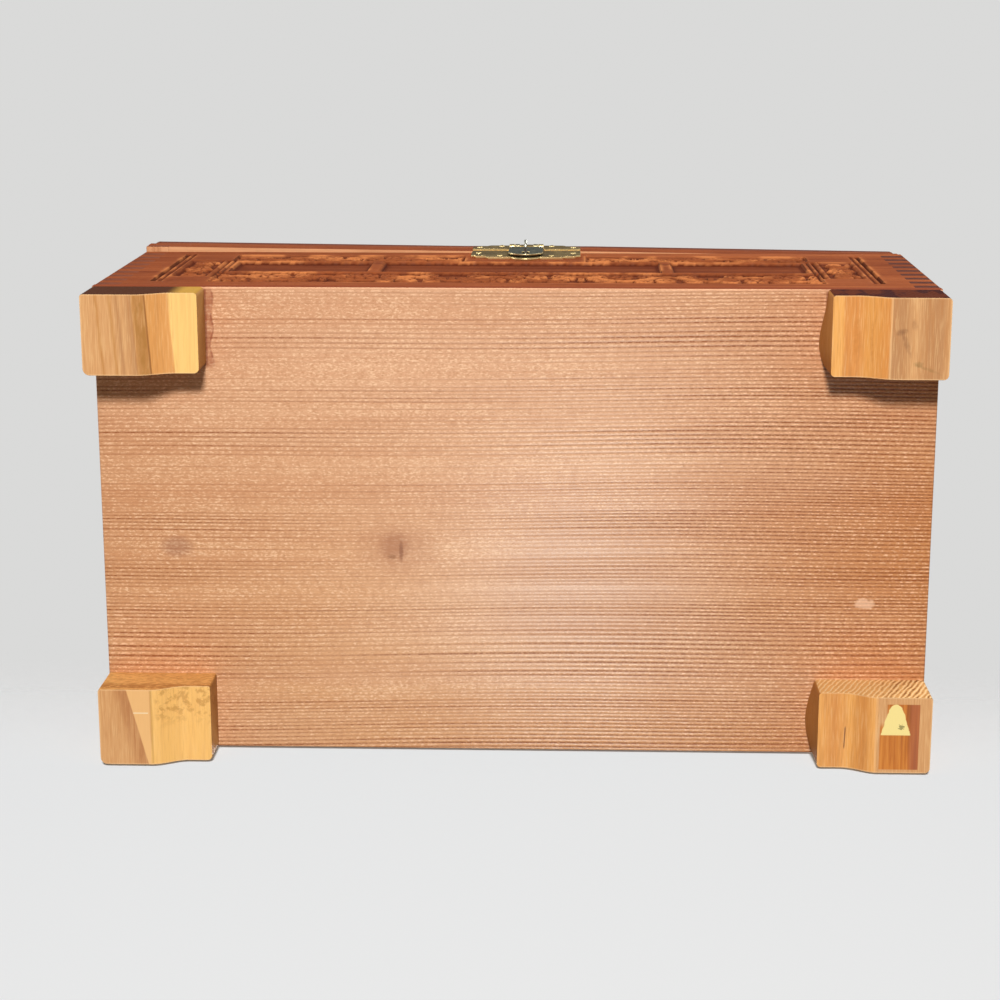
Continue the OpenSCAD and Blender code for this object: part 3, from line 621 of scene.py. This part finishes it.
def carve_face(relief, width, dividers, upper, rng):
    """Traditional layout of a face of that width centred on u = 0, with v counted from the panel's underside:
    two carved bands, a sunken plain field with bars, and end blocks between pairs of incised lines. upper
    lists the stretches of the upper band."""
    inner, outer, line = width / 2 - BAND_IN, width / 2 - 20, 1.2
    low, field, field_top, high = 14, 42, 72, 91
    band, low_wave, high_wave = BAND_DEEP, 31, 23
    relief.sink(-inner, inner, low, field - 1, band, ripple=(0, 0.5), seed=0.7)
    relief.vine(-inner + 1, inner - 1, low + 1, field - 2, band, low_wave, rng)
    for a, b in upper:
        relief.sink(a, b, field_top + 1, high, band, ripple=(0.5, 0), seed=2.1)
        relief.vine(a + 1, b - 1, field_top + 2, high - 1, band, high_wave, rng, start=1)
    edges = [-inner + 3, *dividers, inner - 3]
    for n, (a, b) in enumerate(zip(edges, edges[1:])):
        left = a + (2 if n else 0)
        right = b - (2 if n < len(edges) - 2 else 0)
        relief.sink(left, right, field, field_top, *FIELD, ripple=(0.45, 0.45), seed=1.3 + n)
    block_low, block_high = field - 14, field_top + 2
    room, centre = outer - inner - 5 * line, (block_low + block_high) / 2
    for side in (-1, 1):
        mid = side * (inner + outer) / 2
        relief.sink(mid - room / 2, mid + room / 2, block_low, block_high, band)
        relief.flower(mid, centre, 0.44 * room, 8, band)
        for up in (-1, 1):
            relief.scroll(mid, centre + up * (block_high - block_low - room) / 2, 0.36 * room,
                          math.radians(17), -up * side, band)
            for turn in (54, 126):
                relief.leaf(mid, centre + 0.43 * up * room, math.radians(up * turn),
                            0.5 * room, 0.26 * room, band)
        for dx, broad, deep in ((side * line, 1.7, 1.2), (-side * line, 1.0, 0.8)):
            relief.groove(side * outer + dx, low, high + 2, line * broad, deep)
            relief.groove(side * inner + dx, block_low - 2, block_high + 1, line * broad, deep)


def soften(relief, u0, u1, v0, v1, radius):
    """Rounds the face off towards the four edges of a rectangle."""
    gap = np.clip(radius - relief.inset(u0, u1, v0, v1), 0, radius)
    relief.h = np.minimum(relief.h, np.sqrt(radius ** 2 - gap ** 2) - radius)


def carved_board(name, node, first, width, dividers, upper, place, material, seed, along_y=0):
    """A carved board of the box, whose fingers leave out the cells first, first + 2, ... at both ends.
    along_y is 1 or -1 on a side board, whose u runs to the back or to the front, and whose upper edge is
    bevelled at the back."""
    half, crack, score, rounding, bent, step = width / 2, 0.16, 0.09, 0.4, 5.0, 0.62
    cells = BOARD + FINGER * np.arange(FINGERS + 1)
    rows = {round(float(c + d), 4) for c in cells for d in (-crack, 0, crack) if BOARD <= c + d <= SEAM}
    rows = sorted(rows | {BOARD + rounding, SEAM - rounding, SEAM - bent})
    ends = [half - WALL - crack, half - WALL, half - WALL + crack, half - 1.0, half - rounding, half - crack]
    columns = [-half, *[-e for e in reversed(ends)], *ends, half]
    relief = Relief(grid_lines(columns, step), grid_lines(rows, step))
    middle = Relief(relief.u, relief.v - BASE)
    carve_face(middle, width, dividers, upper, np.random.default_rng(seed))
    relief.h = middle.h
    soften(relief, -half, half, BOARD, SEAM, rounding)
    # A fine groove between the fingers of this board and the other's
    row = (relief.V - BOARD) / FINGER
    joint = np.abs(row - np.round(row)) * FINGER < crack * 0.5
    at_end = (np.abs(relief.U) > half - WALL - 0.01) & (np.abs(relief.U) <= half - 0.01)
    relief.h = np.minimum(relief.h, np.where(at_end & joint, -score, 0))
    cu = (relief.u[1:] + relief.u[:-1]) / 2
    cv = (relief.v[1:] + relief.v[:-1]) / 2
    cell = np.floor((cv - BOARD) / FINGER).astype(int)
    present = ~((np.abs(cu) > half - WALL)[:, None] & (cell % 2 == first)[None, :])

    def put(u, v, w):
        if along_y:
            past_axis = np.maximum(along_y * u + MIDDLE - AXIS_Y, 0)
            limit = np.minimum(SEAM, AXIS_Z - past_axis * BEVEL_SLOPE)
            start = SEAM - bent
            v = np.where(v > start, start + (v - start) * (limit - start) / bent, v)
        return place(u, v, w)

    carved_piece(name, "box", node, material, relief, put, WALL, present)


carved_front = carved_wood("varnished_carved_front", "x", 0.06, 0.32, carved=True)
carved_side = carved_wood("varnished_carved_sides", "y", 0.15, 0.3, carved=True, shift=5.0)
carved_lid = carved_wood("varnished_carved_lid", "x", 0.15, 0.3, carved=True, shift=9.0)
plain_x = carved_wood("varnished_rails", "x", 0.08, 0.36, shift=14.0)
plain_y = carved_wood("varnished_side_rails", "y", 0.15, 0.3, shift=17.0)
plain_back = carved_wood("varnished_back", "x", 0.2, 0.3, shift=23.0)
# The front's upper band leaves plain wood round the latch
PAD = 23.4
band_end = RIGHT - BAND_IN
carved_board("carved_front_board", "front_board", 0, RIGHT - LEFT, [-54, 55.5],
             [(-band_end, LATCH_X - PAD), (LATCH_X + PAD, band_end)],
             lambda u, v, w: (u, FRONT - w, v), carved_front, seed=11)
band_end = DEPTH / 2 - BAND_IN
for side, place, seed, along_y in (("left", lambda u, v, w: (LEFT - w, MIDDLE - u, v), 11, -1),
                                   ("right", lambda u, v, w: (RIGHT + w, MIDDLE + u, v), 13, 1)):
    carved_board(f"carved_{side}_board", f"{side}_board", 1, DEPTH, [], [(-band_end, band_end)], place,
                 carved_side, seed, along_y)

# Lid


def lid_front(x):
    """The hand-planed front edge of the lid, which stands out at the left and falls short at the right."""
    return np.interp(x, [LEFT, LATCH_X - LATCH_FLAT, LATCH_X + LATCH_FLAT, RIGHT],
                     [FRONT - 2.0, FRONT - 0.6, FRONT - 0.6, FRONT + 1.1])


def lid_rounding(u, v):
    """How far points lie in the rounded edges along u and v, and the same drawn in where two edges meet."""
    p = np.clip(LID_ROUND - np.minimum(u - LEFT, RIGHT - u), 0, LID_ROUND)
    q = np.clip(LID_ROUND - np.minimum(v - FRONT, BACK - v), 0, LID_ROUND)
    whole = 2 * LID_ROUND ** 2
    return p, q, p * np.sqrt(1 - q ** 2 / whole), q * np.sqrt(1 - p ** 2 / whole)


def lid_middle(relief):
    """A flower with eight leaves, and on either side of it a waving stem that ends in a smaller one."""
    r, deep, branch_from, bend = 15.0, FIELD[0], 26.0, 29.0
    relief.flower(0, MIDDLE, r, 8, deep)
    for k in range(8):
        angle = (k + 0.5) * math.pi / 4
        relief.leaf(0.9 * r * math.cos(angle), MIDDLE + 0.9 * r * math.sin(angle), angle,
                    0.87 * r, 0.4 * r, deep)
    for side in (-1, 1):
        u = np.arange(0, 2 * bend, 0.5)
        stem = np.stack([side * (branch_from + u), MIDDLE + side * 0.6 * r * np.sin(u / bend * np.pi)], 1)
        relief.stroke(stem, 1.2, deep)
        for k in range(3):
            up = -side if k % 2 else side
            along = branch_from + bend * (0.35 + 0.55 * k)
            relief.scroll(side * along, MIDDLE - 0.8 * r * up, 0.43 * r, math.radians(68 * up * side), up,
                          deep, 1.5)
            for lean in (-0.4, 0.4):
                relief.leaf(side * (along + 0.2 * r), MIDDLE + 0.6 * r * up, up * math.pi / 2 + lean,
                            r, 0.43 * r, deep, lean * 0.5)
        relief.flower(side * (branch_from + 2 * bend + 2), MIDDLE, 0.53 * r, 6, deep)


def lid_top():
    """The lid's top panel: rounded edges, a carved border, a bead, and a sunken field with carving."""
    frame_w, border, bead, band, wave, step = 16.0, 20.0, 4.0, BAND_DEEP, 34, 0.75
    rounding = [0.12, 0.4, 0.8, 1.3, 1.9, LID_ROUND]
    relief = Relief(framed(LEFT, RIGHT, rounding, step), framed(FRONT, BACK, rounding, step))
    a, b, c, d = LEFT + frame_w, RIGHT - frame_w, FRONT + frame_w, BACK - frame_w
    relief.sink(a, b, c, d, band)
    everywhere = (slice(None), slice(None))
    relief.build_up(everywhere, smooth((relief.inset(a, b, c, d) - border + 0.7) / 0.7), band)
    rng = np.random.default_rng(31)
    near, far = 1.5, border - 1.5
    relief.vine(a + border, b - border, c + near, c + far, band, wave, rng)
    relief.vine(a + border, b - border, d - far, d - near, band, wave, rng, start=1)
    turned = Relief(relief.v, relief.u)
    turned.h = relief.h.T.copy()
    turned.vine(c + border, d - border, a + near, a + far, band, wave, rng, start=2)
    turned.vine(c + border, d - border, b - far, b - near, band, wave, rng)
    relief.h = turned.h.T.copy()
    for cu in (a + border / 2, b - border / 2):
        for cv in (c + border / 2, d - border / 2):
            relief.flower(cu, cv, border * 0.38, 8, band)
    e = border + bead
    relief.sink(a + e, b - e, c + e, d - e, *FIELD)
    lid_middle(relief)
    _, _, p, q = lid_rounding(relief.U, relief.V)
    relief.h = relief.h - LID_ROUND + np.sqrt(np.maximum(LID_ROUND ** 2 - p ** 2 - q ** 2, 0))

    def put(u, v, w):
        # Corners are drawn in, and the front edge follows its hand-planed line
        p, q, drawn_p, drawn_q = lid_rounding(u, v)
        u, v = u - (p - drawn_p) * np.sign(u), v - (q - drawn_q) * np.where(v < MIDDLE, -1, 1)
        share = np.clip((c - v) / frame_w, 0, 1)
        return u, v + (lid_front(u) - FRONT) * share, TOP + w

    carved_piece("carved_lid_top", "lid", "lid_top_panel", carved_lid, relief, put, TOP - PANEL)


lid_top()

# Bottom panel


def ring_phase(x, y):
    """Growth rings crossed by the sawn face: about 1.4 mm apart, tighter and wider in turn, and drifting."""
    drift = 0.9 * np.sin(x / 88 + 0.4) + 0.4 * np.sin(x / 33 + y / 40) + 0.006 * x * (y - FRONT) / DEPTH
    t = y + drift
    return t / 1.4 + 1.1 * np.sin(t / 17) + 0.6 * np.sin(t / 6.1 + 1.0)


def bottom_panel(material):
    rounding = [0.12, 0.3, 0.6]
    relief = Relief(framed(LEFT, RIGHT, rounding, 4.0), framed(FRONT, BACK, rounding, 0.29))
    x, y = -relief.U, relief.V
    phase = ring_phase(x, y)
    number = np.floor(phase).astype(int)
    number -= number.min()
    # The hollows between rings deepen and fade in bands, and most are deeper to the right and to the back
    rings = np.arange(number.max() + 1)
    bands = 0.66 + 0.15 * np.sin(rings * 0.52 + 1.0) + 0.11 * np.sin(rings * 0.23)
    bands = np.clip(bands + np.random.default_rng(5).uniform(-0.22, 0.22, len(rings)), 0.28, 1)
    level = bands[number]
    groove = (0.5 - 0.5 * np.cos(2 * np.pi * phase)) ** 1.5
    right, back = smooth((x + 40) / 190), smooth((y - MIDDLE) / DEPTH * 1.6)
    left = smooth((-x - 60) / 90)
    strong = np.clip(0.5 + 0.5 * right + 0.35 * back + 0.2 * left, 0, 1)
    patch = 0.85 + 0.15 * np.sin(x / 23 + y / 9 + 6 * level) * np.sin(y / 14.5 + 1)
    share = groove * (level + (1 - level) * right * 0.55) * strong * patch
    relief.h = -0.12 * share ** 1.5
    soften(relief, LEFT, RIGHT, FRONT, BACK, rounding[-1])
    points, faces, _, _ = slab(relief, lambda u, v, w: (-u, v, BASE - w), BOARD - BASE)
    piece = new_piece("ridged_bottom_panel", points, faces, "box", "bottom_panel", material)
    mark(piece, "ring", share.ravel())
    shade(piece, 50)


bottom_panel(bottom_wood())

# Feet


def foot(name, node, side, front, material, seed, swell):
    """A bracket foot with an ogee, slightly uneven as it left the saw, its upright edges rounded by hand.
    swell is how far its inner end bulges against the bottom, and the power that moves the bulge back."""
    pad, ogee, rise, steps = 18.5, 13.0, 5.0, 16
    outline = [(0, BASE), (0, 0)] + [(s, 0) for s in np.linspace(0, pad, 6)[1:-1]]
    for i in range(steps + 1):
        outline.append((pad + ogee * i / steps, rise * (1 - math.cos(math.pi * i / steps)) / 2))
    outline += [(FOOT_IN, rise), (FOOT_IN, BASE)]
    rng = np.random.default_rng(seed)
    bow = rng.uniform(0.05, 0.22, 2)
    # Radii of the upright edges: the outer and the inner one in front, then the same two behind
    corners = rng.uniform(0.7, 1.6, 2).tolist() + rng.uniform(1.6, 2.8, 2).tolist()
    quarter = [1 - math.cos(math.radians(a)) for a in (0, 15, 30, 45, 60, 75)]
    most = max(corners)
    ends = [most * q for q in quarter]
    rows = [*ends, *np.linspace(most, FOOT_D - most, 10).tolist(), *[FOOT_D - e for e in reversed(ends)]]
    points = []
    for y in rows:
        t = y / FOOT_D
        near = min(y, FOOT_D - y)
        first = 0 if y < FOOT_D / 2 else 2
        cut_out, cut_in = (r - math.sqrt(max(r * r - max(r - near, 0) ** 2, 0))
                           for r in corners[first:first + 2])
        for s, z in outline:
            hollow = math.sin(math.pi * t) * math.sin(math.pi * min(s / FOOT_IN, 1))
            lift = 0.0 if z > BASE - 0.01 else bow[0] * hollow
            end = 1 if s < 0.01 else -1 if s > FOOT_IN - 0.01 else 0
            into = bow[1] * math.sin(math.pi * z / BASE) * end
            s = min(max(s + into, cut_out), FOOT_IN - cut_in)
            if s > FOOT_IN / 2:
                s += swell[0] * math.sin(math.pi * t ** swell[1]) * smooth((z - rise) / (BASE - rise))
            points.append((side * (RIGHT - s), front + y, z + lift))
    n = len(outline)
    faces = [list(range(n)), [len(points) - n + k for k in reversed(range(n))]]
    for r in range(len(rows) - 1):
        for k in range(n):
            a, b = r * n + k, r * n + (k + 1) % n
            faces.append([b, a, a + n, b + n])
    if side < 0:
        faces = [list(reversed(f)) for f in faces]
    piece = new_piece(name, points, faces, "box", node, material)
    piece.data.shade_smooth()
    break_edges(piece, 0.5, 50)


def soft_mark(f, along, deep, at, half, slant, share, tone):
    """A smudge centred at a place on the pad, with half sizes across and along the grain."""
    ragged = (f.noise((0.7, 0.5, 0.7), shift=29) - 0.5) * 3.0
    far = around(along - at[0] - (deep - at[1]) * slant, deep - at[1], *half)
    f.coat((far + ragged).step(1.5, -0.3) * share, *tone)


def yellow_foot(f, along, deep, saw):
    """Varnish of the front covers the outer three quarters of its front side."""
    thin = f.noise((0.2, 0.06, 0.2), shift=3).step(0.25, 0.5)
    seen = along - deep * 0.055
    f.coat((seen - 22.2).size().step(0.45, 0.1) * thin * 0.75, 146, 92, 44)
    smudge = f.noise((0.5, 0.14, 0.5), shift=6).step(0.42, 0.62)
    f.coat((along - deep * 0.05).between(18.6, 21.8, 0.4) * (smudge * 0.6 + 0.25), 180, 126, 62)
    f.coat(seen.step(30.4, 31.4) * 0.6, *YELLOW)
    return f.mix(along.step(35.0, 28.5), srgb(206, 158, 72), srgb(82, 46, 28))


def marked_foot(f, along, deep, saw):
    """Varnish of the front covers its front side, with darker runs."""
    smear, dirt = (136, 92, 62), (150, 118, 70)
    for at, half, slant, share, tone in (((16.8, 12.0), (1.9, 1.3), 0.4, 0.55, smear),
                                         ((15.0, 16.0), (1.1, 4.2), -0.35, 0.4, smear),
                                         ((12.4, 9.4), (1.0, 2.0), 0.0, 0.3, smear),
                                         ((10.6, 23.2), (1.7, 1.0), 0.0, 0.55, dirt),
                                         ((7.4, 24.8), (1.6, 1.7), -2.3, 0.4, dirt),
                                         ((31.3, 15.5), (1.3, 8.5), 0.0, 0.6, (206, 134, 64)),
                                         ((26.4, 17.0), (0.5, 8.0), 0.0, 0.5, (204, 132, 62))):
        soft_mark(f, along, deep, at, half, slant, share, tone)
    # A painted highlight along the pad's inner edge, where the ogee begins
    f.coat((along - 20.3).size().step(0.5, 0.1) * 0.5, 255, 208, 150)
    runs = f.noise((0.16, 0.16, 0.05), detail=2.0, shift=25).step(0.46, 0.56)
    return f.mix(runs, srgb(97, 45, 26), srgb(66, 28, 24))


def wedge_foot(f, along, deep, saw):
    """Rough end grain on its front side, darker along the lower edge."""
    slant = along - 10.2 - deep * 0.26
    grain = f.noise((1.2, 0.09, 1.2), shift=31).step(0.38, 0.62)
    f.coat(slant.step(-6.8, -2.0) * slant.step(0.3, -0.3) * (grain * 0.45 + 0.35), 186, 124, 76)
    f.coat(slant.step(-0.1, 0.25) * along.step(18.7, 18.4) * 0.85, 248, 196, 130)
    f.coat((deep - 8.9).size().step(0.35, 0.12) * along.between(12.6, 18.0, 0.2) * 0.8, 255, 232, 190)
    f.coat(along.step(19.4, 20.2) * 0.5, 255, 200, 118)
    mottled = f.noise(0.42, detail=4.0, rough=0.65, shift=35).step(0.46, 0.62)
    f.coat(mottled * (along.step(19.5, 22.0) * deep.step(17.0, 7.0)) * 0.6, 196, 140, 70)
    f.coat((along - 19.2).size().step(0.6, 0.1) * 0.5, 196, 146, 76)
    rough = f.noise((0.35, 0.35, 0.9), detail=4.0, rough=0.65, shift=37)
    colour = f.mix(rough.step(0.4, 0.62) * 0.6, srgb(236, 176, 104), srgb(188, 126, 68))
    low = f.z.step(9.0, 5.0) * f.z.step(1.0, 3.0) * rough.step(0.3, 0.5)
    return f.mix(low * 0.6, colour, srgb(160, 96, 46))


def label_foot(f, along, deep, saw):
    """Where a paper label came off: a dark unfaded rectangle and a pale patch of its glue. The saw's
    scratches on the front side are coarser towards the outer end."""
    bare = along.between(4.4, 18.4, 0.12) * deep.between(2.6, 27.2, 0.12)
    bare = bare * (along.step(16.4, 15.6).most(deep.step(9.0, 12.0)))
    tone = f.ramp(f.noise((0.7, 0.03, 0.7), shift=41),
                  [(0.36, (158, 84, 28)), (0.5, (195, 110, 34)), (0.64, (220, 138, 54))])
    tone = f.mix(along.step(8.6, 6.8) * 0.7, tone, srgb(170, 92, 62))
    f.colour = f.mix(bare * 0.92, f.colour, tone)
    # The glue widens from a narrow end near the front to its straight end
    half = (deep - 2.5).most(0.0).power(0.5) * 1.55
    ragged = (f.noise(0.3, shift=47) - 0.5) * 1.8
    glue = ((along - 12.9).size() - half + ragged).step(0.2, -0.2) * deep.between(2.6, 14.2, 0.2)
    f.coat(glue * 0.96, 255, 236, 156)
    dx, dy = along - 10.9, deep - 11.2
    speck = dx * dx + dy * dy + (f.noise(1.5, shift=50) - 0.5) * 6
    f.coat(speck.step(1.3, 0.5) * 0.75, 124, 116, 66)
    crack = (along - 30.2 - (deep - 14) * 0.03).size().step(0.32, 0.1) * deep.between(13.0, 21.0, 0.8)
    f.coat(crack * 0.85, 120, 68, 34)
    f.coat((along - 19.8).size().step(0.5, 0.1) * 0.4, 246, 190, 130)
    uneven = f.noise((0.5, 0.5, 0.25), shift=53).step(0.36, 0.6) * 0.7 + 0.3
    coarse = saw.step(0.45, 0.9) * (along.step(26.0, 6.0) * 0.65 + 0.2) * uneven
    colour = f.mix(saw.step(0.3, 0.05) * 0.7, srgb(240, 184, 116), srgb(255, 228, 176))
    return f.mix(coarse, colour, srgb(134, 84, 46))


TAN, BROWN, AMBER = (221, 167, 112), (202, 144, 84), (230, 164, 94)
YELLOW, GOLD, ORANGE = (255, 209, 127), (244, 178, 98), (224, 150, 78)
DULL, HONEY = (195, 142, 94), (236, 166, 88)
BRIGHT, WARM, DEEP = (255, 202, 118), (246, 178, 98), (222, 150, 80)
STILL = (0.0, 1.0)
# Node, side, front edge, slant of bands, marks, swell of the inner end, tones from the outer end inwards
FEET = (
    ("foot_front_left", -1, FRONT, 0.055, yellow_foot, STILL,
     [(4.6, TAN), (5.5, BROWN), (6.4, TAN), (9.6, TAN), (10.6, BROWN), (11.4, TAN), (13.2, DULL),
      (14.2, TAN), (17.6, DULL), (18.2, BROWN), (22.2, BROWN), (22.6, AMBER), (29.6, AMBER),
      (30.1, YELLOW)]),
    ("foot_front_right", 1, FRONT, 0.0, marked_foot, (2.7, 1.7),
     [(0, TAN), (3.0, DULL), (8.0, DULL), (12.0, TAN), (16.0, DULL), (20.1, DULL), (20.7, ORANGE),
      (27.0, HONEY), (31.0, ORANGE), (35.5, ORANGE), (36.5, GOLD)]),
    ("foot_back_left", -1, BACK - FOOT_D, 0.0, wedge_foot, STILL,
     [(18.2, TAN), (19.0, BRIGHT)]),
    ("foot_back_right", 1, BACK - FOOT_D, 0.0, label_foot, (3.0, 1.1),
     [(19.0, TAN), (20.4, WARM), (24.0, DEEP), (29.0, WARM), (34.0, DEEP), (40, WARM)]),
)
for number, (node, side, front, skew, paint, swell, stops) in enumerate(FEET):
    finish = foot_wood("sawn_" + node, side, front, stops, skew, paint, 60.0 + 7 * number)
    foot("sawn_" + node, node, side, front, finish, 70 + number, swell)

# Finishes and broken edges of the CAD parts that stay

brass = aged_brass("aged_brass", srgb(226, 190, 120), srgb(150, 124, 70), 0.36)
# The latch plates' and the hasp's dark faces are tarnish and a painted dark reflection
latch_brass = aged_brass("latch_brass", srgb(226, 196, 126), srgb(168, 142, 84), 0.34, 4.0, srgb(88, 74, 46))
plated = aged_brass("plated_brass_tarnished_and_painted_dark", srgb(112, 112, 98), srgb(52, 56, 48), 0.32, 8.0, srgb(62, 64, 56))
steel = aged_brass("staple_brass", srgb(206, 204, 190), srgb(120, 122, 112), 0.26, 12.0)
for finish, width, nodes in (
        (plain_back, 0.3, ["back_board"]),
        (plain_x, 0.25, ["lid_front_rail", "lid_back_rail"]),
        (plain_y, 0.25, ["lid_left_rail", "lid_right_rail"]),
        (latch_brass, 0.22, ["latch_body_plate", "latch_lid_plate"]),
        (latch_brass, 0.12, ["body_plate_nails", "lid_plate_nails"]),
        (plated, 0.18, ["hasp"]),
        (steel, 0.16, ["staple"]),
        (brass, 0.12, ["left_hinge_body_leaf", "right_hinge_body_leaf",
                       "left_hinge_lid_leaf", "right_hinge_lid_leaf"]),
        (brass, 0.1, ["left_hinge_pin", "right_hinge_pin", "hasp_pin"]),
        (brass, 0.08, ["hinge_screws_body", "hinge_screws_lid"])):
    for node in nodes:
        kept = NODES[node]
        kept.data.materials.clear()
        kept.data.materials.append(finish)
        kept.modifiers.new("weld", "WELD").merge_threshold = 0.002 * MM
        shade(kept, 35)
        break_edges(kept, width, 40)

# Camera of the photograph, which looks at the underside and the front
FOCAL, RES = 2142.2, 1000
EYE = Vector((0.0203, -0.1880, -0.7303))
LOOK = Vector((-0.0330, 0.2357, 0.9713)).normalized()
ACROSS = Vector((0.9994, 0.0006, 0.0338))
ACROSS = (ACROSS - LOOK * ACROSS.dot(LOOK)).normalized()
lens = bpy.data.cameras.new("photo_camera")
lens.sensor_width = 36.0
lens.lens = FOCAL / RES * lens.sensor_width
lens.clip_start, lens.clip_end = 0.01, 50.0
camera = bpy.data.objects.new("photo_camera", lens)
turn = Matrix((ACROSS, ACROSS.cross(LOOK), -LOOK)).transposed().to_4x4()
camera.matrix_world = Matrix.Translation(EYE) @ turn
bpy.context.scene.collection.objects.link(camera)
bpy.context.scene.camera = camera

# Stage: a pale floor under the feet and a pale sheet under the back, on which the photographed box lies.
# Both are seen from one side only, so that neither hides the box from the other views.


def one_sided(name, colour, clears=None, lighter=0.0):
    """Paint seen only from a face's front. clears gives the share at x, y, z in m that is see-through, and
    lighter the share by which the paint brightens upwards, where less of the lamps' light arrives."""
    f = Finish(name, Roughness=1.0, Specular_IOR_Level=0.0)
    speckle, clear, back, blend = (f.tree.nodes.new("ShaderNode" + kind)
                                   for kind in ("TexNoise", "BsdfTransparent", "NewGeometry", "MixShader"))
    speckle.inputs["Scale"].default_value = 40.0
    x, y, z = axes(f.tree, f.object)
    paint = f.mix(Val(f.tree, speckle.outputs[0]), colour, [c * 0.985 for c in colour])
    paint = f.mix(z.step(-0.35, 0.3), paint, [c * (1 + lighter) for c in colour])
    feed(f.shader.inputs["Base Color"], paint)
    hidden = Val(f.tree, back.outputs["Backfacing"])
    if clears:
        hidden = hidden.most(clears(x, y, z))
    for slot, socket in zip(blend.inputs, (hidden.socket, f.shader.outputs[0], clear.outputs[0])):
        f.tree.links.new(socket, slot)
    f.tree.links.new(blend.outputs[0], f.tree.nodes["Material Output"].inputs["Surface"])
    return f.mat


def stage_mesh(name, quads, material):
    """A part of the stage, which casts no shadow, from the corners of its quads in mm."""
    points = [corner for quad in quads for corner in quad]
    thing = new_mesh(name, points, np.arange(len(points)).reshape(-1, 4).tolist(), material)
    thing.visible_shadow = False
    return thing


def flat_quad(x0, x1, y0, y1, z):
    """Corners of a level quad, which faces up."""
    return [(x0, y0, z), (x1, y0, z), (x1, y1, z), (x0, y1, z)]


def beside_box(x, y, z):
    """0 under the box, 1 where the card ends."""
    dx, dy = (x.size() - RIGHT * MM).most(0.0), (y.size() - BACK * MM).most(0.0)
    return (dx * dx + dy * dy).power(0.5).step(0.0, CARD_OUT * MM)


PALE = (0.80, 0.80, 0.79)
FLOOR_HALF, SHEET_HALF, SHEET_Y, CARD_OUT = 2000, 900.0, BACK + 1.2, 80
floor_paint = one_sided("pale_floor", PALE, lambda x, y, z: (x * x + y * y).power(0.5).step(0.45, 1.0))
floor = stage_mesh("floor", [flat_quad(-FLOOR_HALF, FLOOR_HALF, -FLOOR_HALF, FLOOR_HALF, 0)], floor_paint)
# The sheet is made of level strips, which face down, from far under the floor to well above the box. It is
# bluish against the warmth of the light from below, so that it looks neutral.
SHEET_LOW, SHEET_TALL, STRIP_DEEP, STRIP_GAP = -760, 1250, 0.18, 0.35
strips = [flat_quad(-SHEET_HALF, SHEET_HALF, SHEET_Y, SHEET_Y + STRIP_DEEP, SHEET_LOW + k * STRIP_GAP)
          for k in range(int(SHEET_TALL / STRIP_GAP))]
sheet_paint = one_sided("pale_sheet", (0.76, 0.80, 0.84), lambda x, y, z: z.step(0.0, 0.13), 0.15)
sheet = stage_mesh("sheet", [[a, d, c, b] for a, b, c, d in strips], sheet_paint)
for thing in (sheet, floor):
    thing.visible_diffuse = False
sheet.visible_glossy = sheet.visible_transmission = False
# Light from below brightens the bottom panel through the one-sided floor. A dark card, which only light that
# the floor itself spreads can meet, keeps the panel from tinting the floor under and beside the box.
card_x, card_y = RIGHT + CARD_OUT, BACK + CARD_OUT
a, b, c, d = flat_quad(-card_x, card_x, -card_y, card_y, 0.05)
card = stage_mesh("card", [[a, d, c, b]], one_sided("dark_card", (0.04, 0.04, 0.04), beside_box))
card.visible_camera = card.visible_glossy = card.visible_transmission = False

AMBIENT, BACKDROP = 0.13, 0.70
world = bpy.data.worlds.new("studio")
bpy.context.scene.world = world
world.use_nodes = True
tree = world.node_tree
path = tree.nodes.new("ShaderNodeLightPath")
seen, glossy, transmission = (Val(tree, path.outputs[f"Is {kind} Ray"])
                              for kind in ("Camera", "Glossy", "Transmission"))
backdrop = mixed(tree, seen.most(glossy).most(transmission), (AMBIENT, AMBIENT, AMBIENT),
                 (BACKDROP, BACKDROP, BACKDROP * 0.99))
feed(tree.nodes["Background"].inputs["Color"], backdrop)


def lamp(name, towards, far, size, level, colour=(1, 1, 1), at=(0, 0, 0.07)):
    """Square soft lamp. level is the share of a facing white surface's brightness that it gives."""
    data = bpy.data.lights.new(name, "AREA")
    data.shape, data.size = "SQUARE", size
    data.energy = level * math.pi ** 2 * far ** 2
    data.color = colour
    thing = bpy.data.objects.new(name, data)
    direction = Vector(towards).normalized()
    thing.location = Vector(at) + direction * far
    thing.rotation_mode = "QUATERNION"
    thing.rotation_quaternion = direction.to_track_quat("Z", "Y")
    bpy.context.scene.collection.objects.link(thing)
    return thing


lamp("key_below", (0.0, -0.54, -0.84), 2.0, 0.26, 0.94, (1.0, 0.98, 0.96))
lamp("fill_below", (0.1, 0.35, -0.93), 2.0, 1.4, 0.08, (1.0, 0.6, 0.2))
lamp("key_front", (0.5, -0.75, 0.42), 1.8, 0.8, 0.42)
lamp("key_above", (0.1, 0.25, 0.96), 1.8, 0.9, 0.42)
lamp("fill_left", (-0.9, -0.35, 0.3), 1.8, 0.9, 0.36)
lamp("fill_back", (0.3, 0.85, 0.45), 1.8, 0.9, 0.5)
# A lamp for gloss alone, close to where the bottom panel mirrors the camera: the soft sheen in its middle
SHEEN = Vector((0.027, 0.028, 0.020))
mirrored = (SHEEN - EYE).normalized()
mirrored.z *= -1
lamp("sheen", mirrored, 0.9, 0.12, 1.0, (0.75, 0.95, 1.0), SHEEN).visible_diffuse = False

bpy.context.scene.view_settings.view_transform = "Standard"
